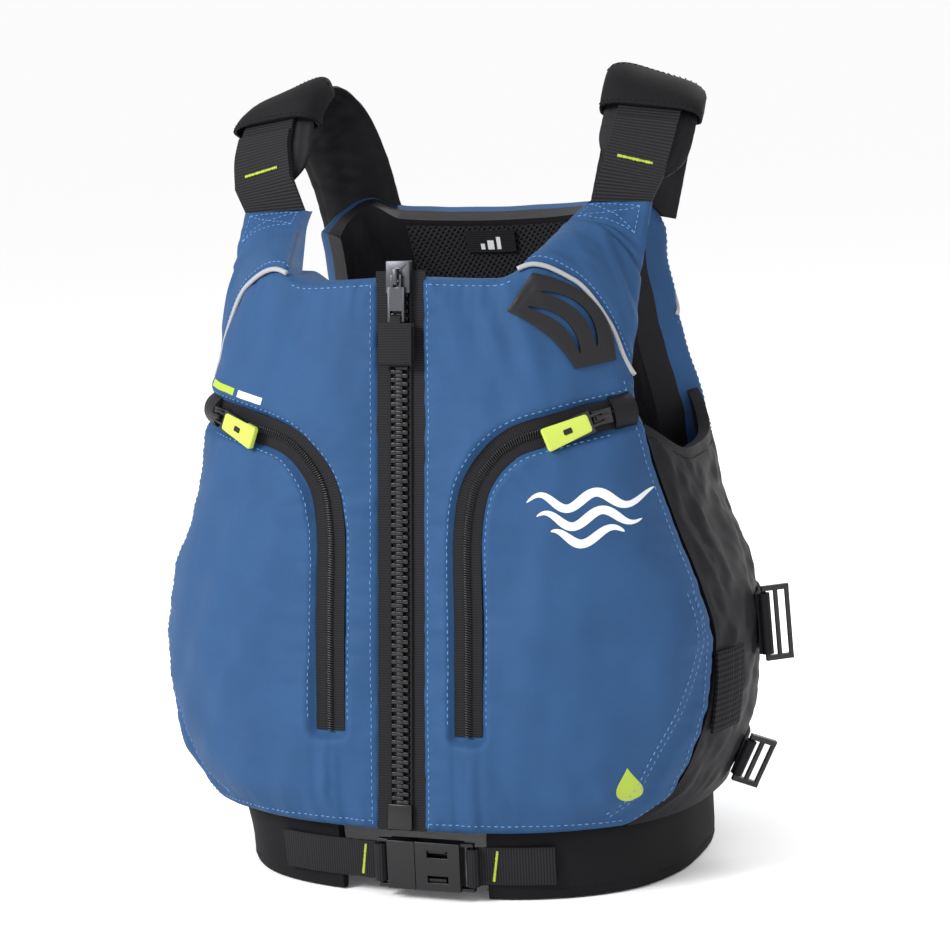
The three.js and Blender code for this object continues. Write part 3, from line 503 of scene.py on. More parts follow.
def repeated(name, lines, unit_mesh, pitch, material, body="vest", unevenness=0.0, seed=1):
    """lines: pairs of (points, ups) in metres. Returns a plain mesh object that rides on the body."""
    verts, ups, edges = [], [], []
    for points, up in lines:
        start = len(verts)
        verts += np.asarray(points).tolist()
        ups += np.broadcast_to(up, np.shape(points)).tolist()
        edges += [(start + k, start + k + 1) for k in range(len(points) - 1)]
    mesh = bpy.data.meshes.new(name + "_lines")
    mesh.from_pydata(verts, edges, [])
    mesh.attributes.new("up", "FLOAT_VECTOR", "POINT").data.foreach_set("vector", np.ravel(ups))
    obj = bpy.data.objects.new(name, mesh)
    bpy.context.scene.collection.objects.link(obj)
    unit_obj = bpy.data.objects.new(name + "_unit", unit_mesh)
    bpy.context.scene.collection.objects.link(unit_obj)
    modifier = obj.modifiers.new("repeat", "NODES")
    modifier.node_group = REPEAT
    ids = {item.name: item.identifier for item in REPEAT.interface.items_tree if item.in_out == "INPUT"}
    for key, value in (("Unit", unit_obj), ("Pitch", pitch), ("Unevenness", unevenness), ("Seed", seed),
                       ("Finish", material)):
        modifier[ids[key]] = value
    graph = bpy.context.evaluated_depsgraph_get()
    plain = bpy.data.meshes.new_from_object(obj.evaluated_get(graph))
    obj.modifiers.remove(modifier)
    obj.data = plain
    plain.polygons.foreach_set("use_smooth", [True] * len(plain.polygons))
    bpy.data.objects.remove(unit_obj)
    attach(obj, body)
    return obj


# %% Unit meshes
def unit_from(build):
    bm = bmesh.new()
    build(bm)
    mesh = bpy.data.meshes.new("unit")
    bm.to_mesh(mesh)
    bm.free()
    return mesh


def capsule(length, radius, flat=0.7, segments=8):
    """A thread stitch along x: a sphere drawn out, a little flat."""
    def build(bm):
        bmesh.ops.create_uvsphere(bm, u_segments=segments, v_segments=6, radius=radius)
        for v in bm.verts:
            v.co = Vector((v.co.x * (length / 2 / radius) ** 0.999, v.co.y, v.co.z * flat))
    return unit_from(build)


STITCH = capsule(0.0029, 0.00042)
print("repeat tree:", len(REPEAT.nodes), "nodes")

# %% [markdown]
# ## Cloth relaxed between its seams
# Each padded panel starts as the CAD surface with a soft swell. A short cloth run lets it grow a little
# while its seams stay pinned, which gathers real folds. Its movement is capped, so it stays on its foam.


# %% The cloth run
CLOTH_FRAMES = 16
BENDING = 0.6
SEWN_ROWS = 3


def relaxed(obj, pinned, grow=0.03, pressure=3.0, cap=0.006):
    """Runs the cloth solver with a pin weight per vertex, and keeps at most cap metres of movement."""
    group = obj.vertex_groups.new(name="pin")
    for i, weight in enumerate(pinned):
        if weight > 0.01:
            group.add([i], float(min(weight, 1)), "REPLACE")
    start = np.empty(len(obj.data.vertices) * 3)
    obj.data.vertices.foreach_get("co", start)
    modifier = obj.modifiers.new("cloth", "CLOTH")
    cloth = modifier.settings
    cloth.quality = 6
    cloth.mass = 0.2
    cloth.tension_stiffness = cloth.compression_stiffness = 20
    cloth.shear_stiffness = 6
    cloth.bending_stiffness = BENDING
    cloth.air_damping = 3
    cloth.effector_weights.gravity = 0
    cloth.vertex_group_mass = "pin"
    cloth.shrink_min = -grow
    cloth.use_pressure = pressure != 0
    cloth.uniform_pressure_force = pressure
    modifier.point_cache.frame_start, modifier.point_cache.frame_end = 1, CLOTH_FRAMES
    scene = bpy.context.scene
    for f in range(1, CLOTH_FRAMES + 1):
        scene.frame_set(f)
    graph = bpy.context.evaluated_depsgraph_get()
    end = np.empty_like(start)
    obj.evaluated_get(graph).data.vertices.foreach_get("co", end)
    move = (end - start).reshape(-1, 3)
    far = np.linalg.norm(move, axis=1, keepdims=True)
    kept = move * np.minimum(1, cap * np.tanh(far / cap) / np.maximum(far, 1e-9))
    obj.modifiers.remove(modifier)
    obj.vertex_groups.clear()
    obj.data.vertices.foreach_set("co", (start.reshape(-1, 3) + kept).ravel())
    scene.frame_set(1)
    mean, most = float(far.mean()) * 1000, float(far.max()) * 1000
    print(obj.name, "moved mm: mean", round(mean, 2), "most", round(most, 1))
    return obj


def subdivided(obj):
    modifier = obj.modifiers.new("fine", "SUBSURF")
    modifier.levels = modifier.render_levels = 1
    graph = bpy.context.evaluated_depsgraph_get()
    fine = bpy.data.meshes.new_from_object(obj.evaluated_get(graph))
    obj.modifiers.remove(modifier)
    obj.data = fine
    fine.polygons.foreach_set("use_smooth", [True] * len(fine.polygons))
    return obj


# %% [markdown]
# ## Front panels
# One piece of blue cloth on each side: an inner strip beside the main zip, the chest above the pocket, and
# the pouch outboard of the pocket zip. Its edges roll inwards; the pocket zip lies in a sunk channel.

# %% Shape of a front panel
POCKET_X, POCKET_FOOT_Z = 45, 106
POCKET = curve_points([[POCKET_X, POCKET_FOOT_Z], [POCKET_X, 170], [POCKET_X, 236], [51, 262], [70, 284],
                       [100, 294], [135, 301.5]], 60)
FLAP_Z = np.linspace(188, 53, 24)
FLAP = np.stack([wing_x(FLAP_Z) - lerp(3.0, 19.0, smooth(-FLAP_Z, -180, -60)), FLAP_Z], -1)
CREASES = ([[37.5, 46], [37, 100]], [[53, 46], [53.5, 100]])
PANEL_ACROSS, PANEL_UP = 78, 128


def front_net(side):
    """Outer net of a front panel in mm with its relief, and how firmly each point is sewn down."""
    u, v = np.meshgrid(np.linspace(0, 1, PANEL_ACROSS), np.linspace(0, 1, PANEL_UP), indexing="ij")
    z = lerp(HEM_Z, panel_top(u), v)
    x = lerp(ZIP_HALF, wing_x(z), u)
    edges = np.stack([x - ZIP_HALF, wing_x(z) - x, z - HEM_Z, (panel_top(u) - z) * 0.9])
    edge = edges.min(0)
    zip_d, zip_side, zip_run = line_distance(x, z, POCKET)
    flap_d, _, flap_run = line_distance(x, z, FLAP)
    # the foot of the channel is square, not round
    aside, below = np.abs(x - POCKET_X), POCKET_FOOT_Z - z
    square = np.hypot(np.maximum(aside - 7.5, 0), below * 0.8) + 7.5
    zip_d = np.where((below > 0) & (aside < 12), square, zip_d)
    pouch = smooth(zip_side * zip_d, 6, 14) * smooth(z, 46, 70)
    seed = 3 if side > 0 else 11

    soft = 1 - np.exp(-edge / 13)
    relief = 4.2 * soft
    relief += 4.5 * pouch * soft * (1 - np.exp(-np.maximum(zip_d - 8, 0) / 30))
    # the channel of the pocket zip, between two folded lips
    lips = smooth(zip_d, 7.6, 10.5)
    relief = relief * smooth(zip_d, 7.2, 13) + 2.4 * lips * np.exp(-np.maximum(zip_d - 10, 0) / 16)
    relief += 1.6 * pouch * lips * np.exp(-np.maximum(zip_d - 9, 0) / 5)
    relief *= 1 - 0.55 * np.exp(-((flap_d - 1) / 3.0) ** 2) * smooth(z, 44, 60)
    for line in CREASES:
        d, _, _ = line_distance(x, z, line)
        relief -= 1.5 * np.exp(-(d / 2.2) ** 2) * smooth(100 - z, -4, 14)
    # puckers beside every seam, and wide shallow drags
    run = [z, z, x, x]
    for k, (d, r) in enumerate(zip(edges, run)):
        pucker = 0.7 * ripple(seed + k, 9, r, d * 0.2) + 0.9 * ripple(seed + 20 + k, 19, r, d * 0.3)
        relief += pucker * np.exp(-np.maximum(d - 2, 0) / 12) * smooth(d, 0, 3)
    gather = 0.9 * ripple(seed + 5, 13, zip_run, zip_d * 0.15)
    relief += gather * np.exp(-np.maximum(zip_d - 10, 0) / 13) * lips
    relief += 0.5 * ripple(seed + 6, 9, flap_run, flap_d * 0.2) * np.exp(-flap_d / 9) * smooth(z, 44, 60)
    relief += 2.2 * ripple(seed + 7, 90, x, z * 0.6) * soft
    relief += 0.9 * ripple(seed + 8, 38, x * 1.2, z * 0.6) * soft
    drags = ripple(seed + 9, 26, x * 1.3 + z * 0.5, z * 0.12)
    relief += 1.1 * drags * soft * smooth(z, 300, 350) + 0.8 * drags * soft * smooth(110 - z, 0, 50)
    # the channel stays below the tape, whatever the folds beside it do
    relief = lerp(np.minimum(relief, 0.0), relief, smooth(zip_d, 8.2, 13))
    piped = smooth(u, 0.46, 0.52) * smooth(8 - edges[3], 0, 4)
    round_off = 4.5 - 3.2 * piped
    near = np.clip(edge, 0, round_off)
    relief -= round_off - np.sqrt(round_off**2 - (round_off - near) ** 2)
    sewn = np.maximum(np.exp(-(edge / 2.2) ** 2), smooth(-zip_d, -15, -10.5))
    sewn = np.maximum(sewn, 0.9 * np.exp(-(flap_d / 2.2) ** 2) * smooth(z, 44, 55))
    return x, z, relief, np.clip(sewn, 0, 1)


def rolled(place, relief, depths=(4.0, 14.0, 30.5)):
    """A net of points at place(relief), with border rows that turn in to the given depths behind it."""
    rows = [place(relief)] + [place(relief - d) for d in depths[:-1]] + [place(0 * relief - depths[-1])]
    net = rows[0]
    for axis in (0, 1):
        first = [np.take(a, [0], axis) for a in rows[1:]]
        last = [np.take(a, [-1], axis) for a in rows[1:]]
        net = np.concatenate(first[::-1] + [net] + last, axis)
        rows = [np.concatenate([np.take(a, [0], axis)] * len(depths) + [a]
                               + [np.take(a, [-1], axis)] * len(depths), axis) for a in rows]
    return net


def front_panel(name, side):
    x, z, relief, sewn = front_net(side)
    net = metres(rolled(lambda out: on_front(x, z, out), relief), side)
    nu, nv = net.shape[:2]
    obj = mesh_object(name, net.reshape(-1, 3), net_faces(nu, nv, flip=side < 0), BLUE, net_uv(net))
    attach(obj, "vest")
    pins = np.ones((nu, nv))
    pins[SEWN_ROWS:-SEWN_ROWS, SEWN_ROWS:-SEWN_ROWS] = sewn
    relaxed(obj, pins.ravel(), grow=0.045, pressure=2.0, cap=0.005)
    return subdivided(obj)


panels = {}
for side, word in SIDES:
    panel = panels[word] = front_panel(f"panel_cloth_{word}", side)
    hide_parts(f"front_shell_{word}", f"pocket_pouch_{word}")
print("front panels:", len(panel.data.polygons), "faces each")

# %% [markdown]
# ## Small makers
# The rest of the vest is strips, ribbons, cords and moulded bits. Each small maker here takes points in mm
# on the torso, turns them to the row frame once, and closes its mesh.


# %% Frames, strips and cords
def place_front(u, v, out=0.0):
    """A point of a front panel: u from the zip to the side, v from the hem to the top edge."""
    z = lerp(HEM_Z, panel_top(u), v)
    return on_front(lerp(ZIP_HALF, wing_x(z), u), z, out)


def grid(nu, nv, u=(0, 1), v=(0, 1)):
    return np.meshgrid(np.linspace(*u, nu), np.linspace(*v, nv), indexing="ij")


def net_normals(net):
    return unit(np.cross(np.gradient(net, axis=0), np.gradient(net, axis=1)))


def on_net(net, normals, u, v, lift):
    """Points and normals at shares u, v of a net, lifted by lift metres."""
    i, j = np.asarray(u) * (net.shape[0] - 1), np.asarray(v) * (net.shape[1] - 1)
    i0, j0 = np.minimum(i.astype(int), net.shape[0] - 2), np.minimum(j.astype(int), net.shape[1] - 2)
    fi, fj = (i - i0)[..., None], (j - j0)[..., None]
    mix = lambda a: lerp(lerp(a[i0, j0], a[i0 + 1, j0], fi), lerp(a[i0, j0 + 1], a[i0 + 1, j0 + 1], fi), fj)
    up = unit(mix(normals))
    return mix(net) + up * lift, up


def surface_of(*objects):
    """A search tree of finished cloth, so that trims can be laid on it."""
    verts, faces = [], []
    for obj in objects:
        start = len(verts)
        verts += [v.co.copy() for v in obj.data.vertices]
        faces += [[start + i for i in p.vertices] for p in obj.data.polygons]
    return BVHTree.FromPolygons(verts, faces)


def laid(tree, points, ups, lift, reach=0.012):
    """Moves points along their ups onto the cloth, and lift metres above it."""
    all_ups = np.broadcast_to(ups, np.shape(points))
    flat_p, flat_n = np.reshape(points, (-1, 3)), np.reshape(all_ups, (-1, 3))
    found = []
    for p, n in zip(flat_p, flat_n):
        start, down = Vector(p + n * reach), Vector(-n)
        hit = tree.ray_cast(start, down, 2.2 * reach)[0]
        found.append(p if hit is None else np.array(hit))
    return np.reshape(found, np.shape(points)) + all_ups * np.asarray(lift)[..., None]


def front_points(line, side, tree=None, lift=0.0):
    """Points and outward directions at [x, z] places of a front panel."""
    x, z = np.asarray(line, float).T
    points = metres(on_front(x, z, 0.0), side)
    ups = unit(metres(on_front(x, z, 5.0), side) - points)
    return (laid(tree, points, ups, lift) if tree else points + ups * lift), ups


def offset_line(line, distance):
    """A line of [x, z] points moved sideways by a distance in mm."""
    line = np.asarray(line, float)
    along = unit(np.gradient(line, axis=0))
    return line + np.stack([-along[:, 1], along[:, 0]], -1) * np.reshape(distance, (-1, 1))


def tube(name, points, radius, material, sides=10):
    """A closed round cord through points in metres."""
    p = np.asarray(points, float)
    along = unit(np.gradient(p, axis=0))
    up = np.broadcast_to((0, 0, 1), p.shape)
    ups = unit(up - along * (up * along).sum(-1, keepdims=True))
    across = np.cross(ups, along)
    turn = np.linspace(0, 2 * np.pi, sides, endpoint=False)
    net = p[:, None] + radius * (np.cos(turn)[:, None] * across[:, None]
                                 + np.sin(turn)[:, None] * ups[:, None])
    n = len(p)
    faces = [[i * sides + j, i * sides + k, (i + 1) * sides + k, (i + 1) * sides + j]
             for i in range(n - 1) for j, k in zip(range(sides), list(range(1, sides)) + [0])]
    faces += [list(range(sides)), [(n - 1) * sides + j for j in range(sides)]]
    run = np.concatenate([[0], np.cumsum(np.linalg.norm(np.diff(p, axis=0), axis=1))])
    uv = np.stack(np.broadcast_arrays(turn[None] * radius, run[:, None]), -1).reshape(-1, 2)
    obj = recalculated(mesh_object(name, net.reshape(-1, 3), faces, material, uv))
    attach(obj, "vest")
    return obj


PRINT_LIFT, PRINT_THICK = 0.0003, 0.0005


def front_ribbon(name, line, width, side, tree, material, across=5):
    """A flat strip along [x, z] points on the front; width in mm, one value or one for each point."""
    offs = np.linspace(-0.5, 0.5, across)
    lines = [offset_line(line, o * np.asarray(width, float)) for o in offs]
    rows = [front_points(points, side, tree, PRINT_LIFT) for points in lines]
    top = np.stack([r[0] for r in rows], 0)
    ups = np.stack([r[1] for r in rows], 0)
    return slab(name, top, top - ups * PRINT_THICK, material)


# %% Pieces that keep the CAD's shape
def softened(name, node, material, width=0.0005, segments=2):
    """Stands for a hard CAD piece: the same solid with rounded edges and a UV map round the torso."""
    bm = bmesh.new()
    bm.from_mesh(NODES[node].data)
    bmesh.ops.remove_doubles(bm, verts=bm.verts[:], dist=2e-5)
    bmesh.ops.dissolve_limit(bm, angle_limit=math.radians(4), verts=bm.verts[:], edges=bm.edges[:])
    sharp = [e for e in bm.edges if e.is_manifold and e.calc_face_angle(0) > math.radians(28)]
    bmesh.ops.bevel(bm, geom=sharp, offset=width, segments=segments, profile=0.6, affect="EDGES",
                    clamp_overlap=True)
    bmesh.ops.triangulate(bm, faces=[f for f in bm.faces if len(f.verts) > 4])
    layer = bm.loops.layers.uv.new("cloth")
    for face in bm.faces:
        for loop in face.loops:
            co = loop.vert.co
            loop[layer].uv = (math.atan2(co.x, -co.y) * 0.17, co.z)
    mesh = bpy.data.meshes.new(name)
    bm.to_mesh(mesh)
    bm.free()
    mesh.materials.append(material)
    obj = bpy.data.objects.new(name, mesh)
    bpy.context.scene.collection.objects.link(obj)
    mesh.shade_smooth()
    mesh.set_sharp_from_angle(angle=math.radians(38))
    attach(obj, NODES[node]["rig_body"])
    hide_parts(node)
    return obj


def rounded_outline(corners, radius):
    """Corner points with their corners cut to arcs of six points."""
    pts = [Vector(c) for c in corners]
    outline = []
    for a, b, c in zip(pts[-1:] + pts[:-1], pts, pts[1:] + pts[:1]):
        start, end = b + (a - b).normalized() * radius, b + (c - b).normalized() * radius
        for t in (0.0, 0.2, 0.4, 0.6, 0.8, 1.0):
            outline.append(start * (1 - t) ** 2 + b * 2 * t * (1 - t) + end * t * t)
    return outline


def plate(name, corners, radius, thick, to_frame, material, body="vest", bevel=0.5):
    """A plate with rounded corners and edges, in its own x, y, z in mm, placed by to_frame."""
    bm = bmesh.new()
    ring = [bm.verts.new((p.x, p.y, -thick / 2)) for p in rounded_outline(corners, radius)]
    base = bm.faces.new(ring)
    raised = bmesh.ops.extrude_face_region(bm, geom=[base])["geom"]
    for v in (g for g in raised if isinstance(g, bmesh.types.BMVert)):
        v.co.z += thick
    bmesh.ops.recalc_face_normals(bm, faces=bm.faces[:])
    rim = [e for e in bm.edges if abs(e.verts[0].co.z - e.verts[1].co.z) < 1e-6]
    bmesh.ops.bevel(bm, geom=rim, offset=bevel, segments=3, profile=0.5, affect="EDGES", clamp_overlap=True)
    bmesh.ops.triangulate(bm, faces=[f for f in bm.faces if len(f.verts) > 4])
    co = to_frame(np.array([v.co for v in bm.verts]))
    for v, place in zip(bm.verts, co):
        v.co = place
    bmesh.ops.recalc_face_normals(bm, faces=bm.faces[:])
    mesh = bpy.data.meshes.new(name)
    bm.to_mesh(mesh)
    bm.free()
    mesh.materials.append(material)
    mesh.shade_smooth()
    mesh.set_sharp_from_angle(angle=math.radians(50))
    obj = bpy.data.objects.new(name, mesh)
    bpy.context.scene.collection.objects.link(obj)
    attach(obj, body)
    return obj


print("small makers ready")

# %% [markdown]
# ## Yokes
# Above the reflective piping the chest cloth narrows to a stitched tab that holds the shoulder webbing.
# The flat tab pulls the cloth under it into a deep fold and drags it towards both corners.

# %% Yokes
TAB = np.array([[93.0, 21.0, 426.0], [137.0, 21.0, 426.0]])
YOKE_FROM, YOKE_THICK, TAB_THICK, TAB_SHARE = 0.5, 13.0, 4.0, 0.71


def yoke_place(u, v, share):
    depth = -YOKE_THICK * share - 1.0 * (1 - share)
    low = place_front(lerp(YOKE_FROM, 1, u), 1.0, depth) + np.array([0, 0, 0.5])
    high = lerp(TAB[0], TAB[1], u[..., None]) + np.array([0, TAB_THICK * share, 0])
    crown = 4 * np.sin(np.pi * u) * np.sin(np.pi * v ** 0.7)
    return lerp(low, high, v[..., None]) + np.stack([0 * u, -crown, crown / 3], -1)


def yoke_relief(u, v, seed):
    loose = smooth(v, 0.0, 0.12) * (1 - smooth(v, TAB_SHARE - 0.08, TAB_SHARE))
    relief = 3.6 * loose * np.abs(np.sin(np.pi * u)) ** 0.5
    fold = v - lerp(TAB_SHARE - 0.02, TAB_SHARE - 0.12, u)
    relief -= 2.6 * np.exp(-(fold / 0.022) ** 2) * smooth(u, 0.15, 0.6)
    drag = v - lerp(0.62, 0.28, smooth(u, 0.35, 1.0))
    relief += 1.9 * np.exp(-(drag / 0.07) ** 2) * smooth(u, 0.3, 0.7) * loose
    relief -= 1.3 * np.exp(-((drag - 0.11) / 0.04) ** 2) * smooth(u, 0.35, 0.8) * loose
    wide = ripple(seed, 34, u * 55 + v * 20, v * 70)
    relief += (1.0 * wide + 0.2 * ripple(seed + 1, 13, u * 55, v * 90)) * loose
    relief += 0.4 * ripple(seed + 2, 9, u * 60, 0 * v) * np.exp(-v / 0.05) * smooth(v, 0, 0.02)
    tab = smooth(v, TAB_SHARE, TAB_SHARE + 0.03)
    relief += tab * (0.9 + 0.3 * ripple(seed + 3, 12, u * 44, v * 90))
    return relief - 1.6 * (1 - smooth(np.minimum(u, 1 - u), 0, 0.05))


box_lines = []
for side, word in SIDES:
    u, v = grid(44, 72)
    outer = yoke_place(u, v, 0.0)
    outer = metres(outer + net_normals(outer) * yoke_relief(u, v, 40 + side)[..., None], side)
    yoke = slab(f"yoke_cloth_{word}", outer, metres(yoke_place(u, v, 1.0), side), BLUE)
    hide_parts(f"yoke_{word}")
    normals = net_normals(outer) * side
    low, high = TAB_SHARE + 0.045, 0.965
    corners = [(0.14, low), (0.86, low), (0.86, high), (0.14, high), (0.14, low)]
    runs = list(zip(corners, corners[1:])) + [((0.14, low), (0.86, high)), ((0.86, low), (0.14, high))]
    for (u0, v0), (u1, v1) in runs:
        t = np.linspace(0.03, 0.97, 12)
        box_lines.append(on_net(outer, normals, lerp(u0, u1, t), lerp(v0, v1, t), 0.0002))
    t = np.linspace(0.03, 0.97, 40)
    box_lines.append(on_net(outer, normals, t, 0 * t + 0.07, 0.0002))
stitches = repeated("yoke_stitches", box_lines, STITCH, 0.0036, THREAD_BLUE, unevenness=0.15, seed=4)
print("yoke stitches:", len(stitches.data.polygons), "faces")

# %% [markdown]
# ## Piping
# A thin reflective cord is sewn into the seam under each yoke, and a second one crosses each shoulder of
# the back panel. A cord is a ring of points carried along the seam.

# %% Front piping
for side, word in SIDES:
    s = np.linspace(YOKE_FROM, 1, 60)
    seam = metres(place_front(s, 1.0, 0.9) + np.array([0, 0, 0.2]), side)
    piping = tube(f"piping_cord_{word}", seam, 0.0016, PIPING, sides=10)
    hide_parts(f"piping_{word}")
print("piping length, mm:", round(float(np.linalg.norm(np.diff(seam, axis=0), axis=1).sum()) * 1000))

# %% [markdown]
# ## Stitches of the front panels
# Top stitching runs beside every seam. Each line is laid on the relaxed cloth by a ray from outside, and
# Geometry Nodes sets one thread stitch per pitch along it.

# %% Front stitches
tree_of = {word: surface_of(panels[word]) for _, word in SIDES}
seam_lines = []
for side, word in SIDES:
    tree = tree_of[word]
    z = np.linspace(HEM_Z + 5, NECK_Z - 6, 110)
    lines = [np.stack([0 * z + ZIP_HALF + 5, z], -1)]
    z = np.linspace(HEM_Z + 6, 318, 110)
    lines += [np.stack([wing_x(z) - 5.5, z], -1)]
    u = np.linspace(0.06, 0.46, 24)
    lines += [np.stack([lerp(ZIP_HALF, wing_x(panel_top(u)), u), panel_top(u) - 5], -1)]
    u = np.linspace(0.05, 0.9, 60)
    lines += [np.stack([lerp(ZIP_HALF, wing_x(HEM_Z + 6.0), u), 0 * u + HEM_Z + 6], -1)]
    lines += [offset_line(POCKET, 12.2)[2:], offset_line(POCKET, -12.2)[2:-3]]
    lines += [offset_line(FLAP, -3.2), offset_line(FLAP, -6.4)]
    seam_lines += [front_points(line, side, tree, 0.0002) for line in lines]
stitches = repeated("panel_stitches", seam_lines, STITCH, 0.0043, THREAD_BLUE, unevenness=0.2, seed=9)
print("panel stitches:", len(stitches.data.polygons), "faces")

# %% [markdown]
# ## Pocket zips
# A coil zip lies in the sunk channel of each pocket: a woven tape, a row of nylon turns over a cord, a small
# slider, and a soft lime pull on a black carrier. At its outer end a fabric garage covers the slider.

# %% Pocket tape and coil
COIL = capsule(0.0056, 0.00055, flat=1.2, segments=6)
for side, word in SIDES:
    rows = np.linspace(-9.0, 9.0, 9)
    nets = [np.stack([front_points(offset_line(POCKET, r), side, None, out)[0] for r in rows])
            for out in (0.0014, 0.0005)]
    tape = slab(f"pocket_tape_{word}", nets[0], nets[1], TAPE)
    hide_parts(f"pocket_zip_tape_{word}")
    points, ups = front_points(POCKET, side, None, 0.0024)
    along = unit(np.gradient(points, axis=0))
    across = np.cross(ups, along)
    turns = []
    for k in np.arange(0, len(points) - 1, 0.34):
        i = int(k)
        at = lerp(points[i], points[i + 1], k - i)
        turns.append((at, across[i], ups[i], along[i]))
    verts, faces = [], []
    base = [tuple(v.co) for v in COIL.vertices]
    base_faces = [list(p.vertices) for p in COIL.polygons]
    for at, x, z, y in turns:
        start = len(verts)
        lean = unit(x + 0.16 * y)
        verts += [at + lean * b[0] + np.cross(z, lean) * b[1] + z * b[2] for b in base]
        faces += [[start + i for i in f] for f in base_faces]
    coil = recalculated(mesh_object(f"pocket_coil_{word}", verts, faces, PLASTIC))
    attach(coil, "vest")
    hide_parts(f"pocket_zip_coil_{word}")
print("coil turns:", len(turns))


# %% Pocket sliders and pulls
GARAGE_HALF, GARAGE_HIGH = 11, 8.2


def pull_frame(side):
    """Local x along the pull from its pin, y across, z out, to the row frame."""
    coil_top = 5.2
    at, after = on_front(121, 298.6, coil_top), on_front(101, 294.3, coil_top)
    slide = unit(after - at)
    across = unit(np.cross(on_front(121, 298.6, 10.0) - on_front(121, 298.6, 0.0), slide))
    pin = at + np.cross(slide, across) * 3.2
    x = unit(on_front(84, 283, 10.5) - pin)
    z = unit(np.cross(x, across))
    y = np.cross(z, x)
    return lambda p: metres(pin + p[:, :1] * x + p[:, 1:2] * y + p[:, 2:] * z, side)


for side, word in SIDES:
    softened(f"pocket_slider_cast_{word}", f"pocket_slider_{word}", PLASTIC, 0.0004)
    softened(f"pocket_carrier_{word}", f"pocket_pull_{word}", PLASTIC, 0.0003)
    body = f"pocket_pull_{word}"
    to_frame = pull_frame(side)
    grip_corners = [(9, -5.6), (9, 5.6), (39, 7.6), (39, -7.6)]
    grip = plate(f"pocket_grip_{word}", grip_corners, 2.2, 3.6, to_frame, LIME, body, 0.9)
    lift = lambda p, f=to_frame: f(p + np.array([0, 0, 1.9]))
    mark_corners = [(21, -1.7), (21, 1.7), (26.5, 1.7), (26.5, -1.7)]
    mark = plate(f"pocket_grip_mark_{word}", mark_corners, 0.8, 0.5, lift, RUBBER, body, 0.12)
    share = np.linspace(0, 1, 18)[:, None]
    line = lerp(np.array([126.5, 300.0]), np.array([136.5, 302.2]), share)
    garage = []
    for w in np.linspace(-GARAGE_HALF, GARAGE_HALF, 12):
        lift_mm = (GARAGE_HIGH * (1 - abs(w / GARAGE_HALF) ** 2.2)) ** 0.9 + 0.9
        garage.append(front_points(offset_line(line, w), side, None, lift_mm / 1000)[0])
    garage = np.stack(garage, 0)
    inner = garage - front_points(line, side)[1] * 0.0011
    hood = slab(f"pocket_garage_{word}", garage, inner, BLACK)
print("pulls placed")

# %% [markdown]
# ## Main zip
# A heavy moulded zip: two woven tapes with beaded edges, and single plastic teeth that Geometry Nodes
# stands along each bead. The rows are half a pitch apart, so that every tooth falls between two others.

# %% Tapes and teeth
ZIP_UP = unit(np.array([0, CHEST_LEAN, 1.0]))
ZIP_OUT = unit(np.array([0, -1.0, CHEST_LEAN]))
ZIP_FOOT = np.array([0, BELLY_Y, 0.0])
ZIP_LOW, ZIP_HIGH, CHAIN_LOW, TOOTH_PITCH = HEM_Z + 1, NECK_Z + 6, 63.0, 5.0


def on_zip(x, s, out, side=1):
    """A point of the zip's own plane: x across, s up the zip, out away from the chest."""
    x, s, out = np.broadcast_arrays(*(np.asarray(a, float)[..., None] for a in (x, s, out)))
    return metres(ZIP_FOOT + x * np.array([1.0, 0, 0]) + s * ZIP_UP + out * ZIP_OUT, side)


def tooth(phase_side):
    """One moulded tooth: a neck on the bead and a wider head that reaches past the middle."""
    def build(bm):
        for y0, y1, wide, high in ((-5.7, -1.6, 2.5, 2.6), (-2.4, 2.3, 2.1, 3.2)):
            made = bmesh.ops.create_cube(bm, size=1)["verts"]
            for v in made:
                y = phase_side * lerp(y0, y1, v.co.y + 0.5)
                v.co = Vector((v.co.x * wide, y, v.co.z * high + 0.9)) / 1000
        bmesh.ops.recalc_face_normals(bm, faces=bm.faces[:])
        bmesh.ops.bevel(bm, geom=bm.edges[:], offset=0.00035, segments=2, affect="EDGES", profile=0.6)
    return unit_from(build)


for side, word in SIDES:
    x, s = grid(10, 120, (0.3, ZIP_HALF + 2.5), (ZIP_LOW, ZIP_HIGH))
    wave = 0.25 * ripple(60 + side, 40, s, x)
    tape_top = on_zip(x, s, -0.9 + wave * 0.4, side)
    tape = slab(f"main_tape_{word}", tape_top, on_zip(x, s, -1.9, side), TAPE)
    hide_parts(f"zip_tape_{word}")
    tooth_s = np.arange(CHAIN_LOW + (1.0 if side > 0 else 3.5), ZIP_HIGH - 5, TOOTH_PITCH)
    tooth_line = (on_zip(0 * tooth_s, tooth_s, 0.0), ZIP_OUT)
    teeth = repeated(f"main_teeth_{word}", [tooth_line], tooth(side), TOOTH_PITCH / 1000, PLASTIC)
    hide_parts(f"zip_teeth_{word}")
    s = np.linspace(ZIP_LOW, ZIP_HIGH, 60)
    bead = tube(f"main_zip_bead_{word}", on_zip(0 * s + 6.9, s, -0.1, side), 0.0011, TAPE)
softened("main_zip_box", "zip_box", PLASTIC, 0.0006)
softened("main_slider_cast", "zip_slider", METAL, 0.0006)
softened("main_pull_cast", "zip_pull_tab", METAL, 0.0004)
softened("main_pull_loop", "zip_pull_loop", TAPE, 0.0003)
print("main zip teeth a side:", len(tooth_s))

# %% [markdown]
# ## Shoulder pads, webbing and keepers
# Each pad is a slim pillow of black nylon over foam. The shoulder webbing lies on it, doubles back to a
# tack of lime thread, and a band of neoprene keeps its free end down.

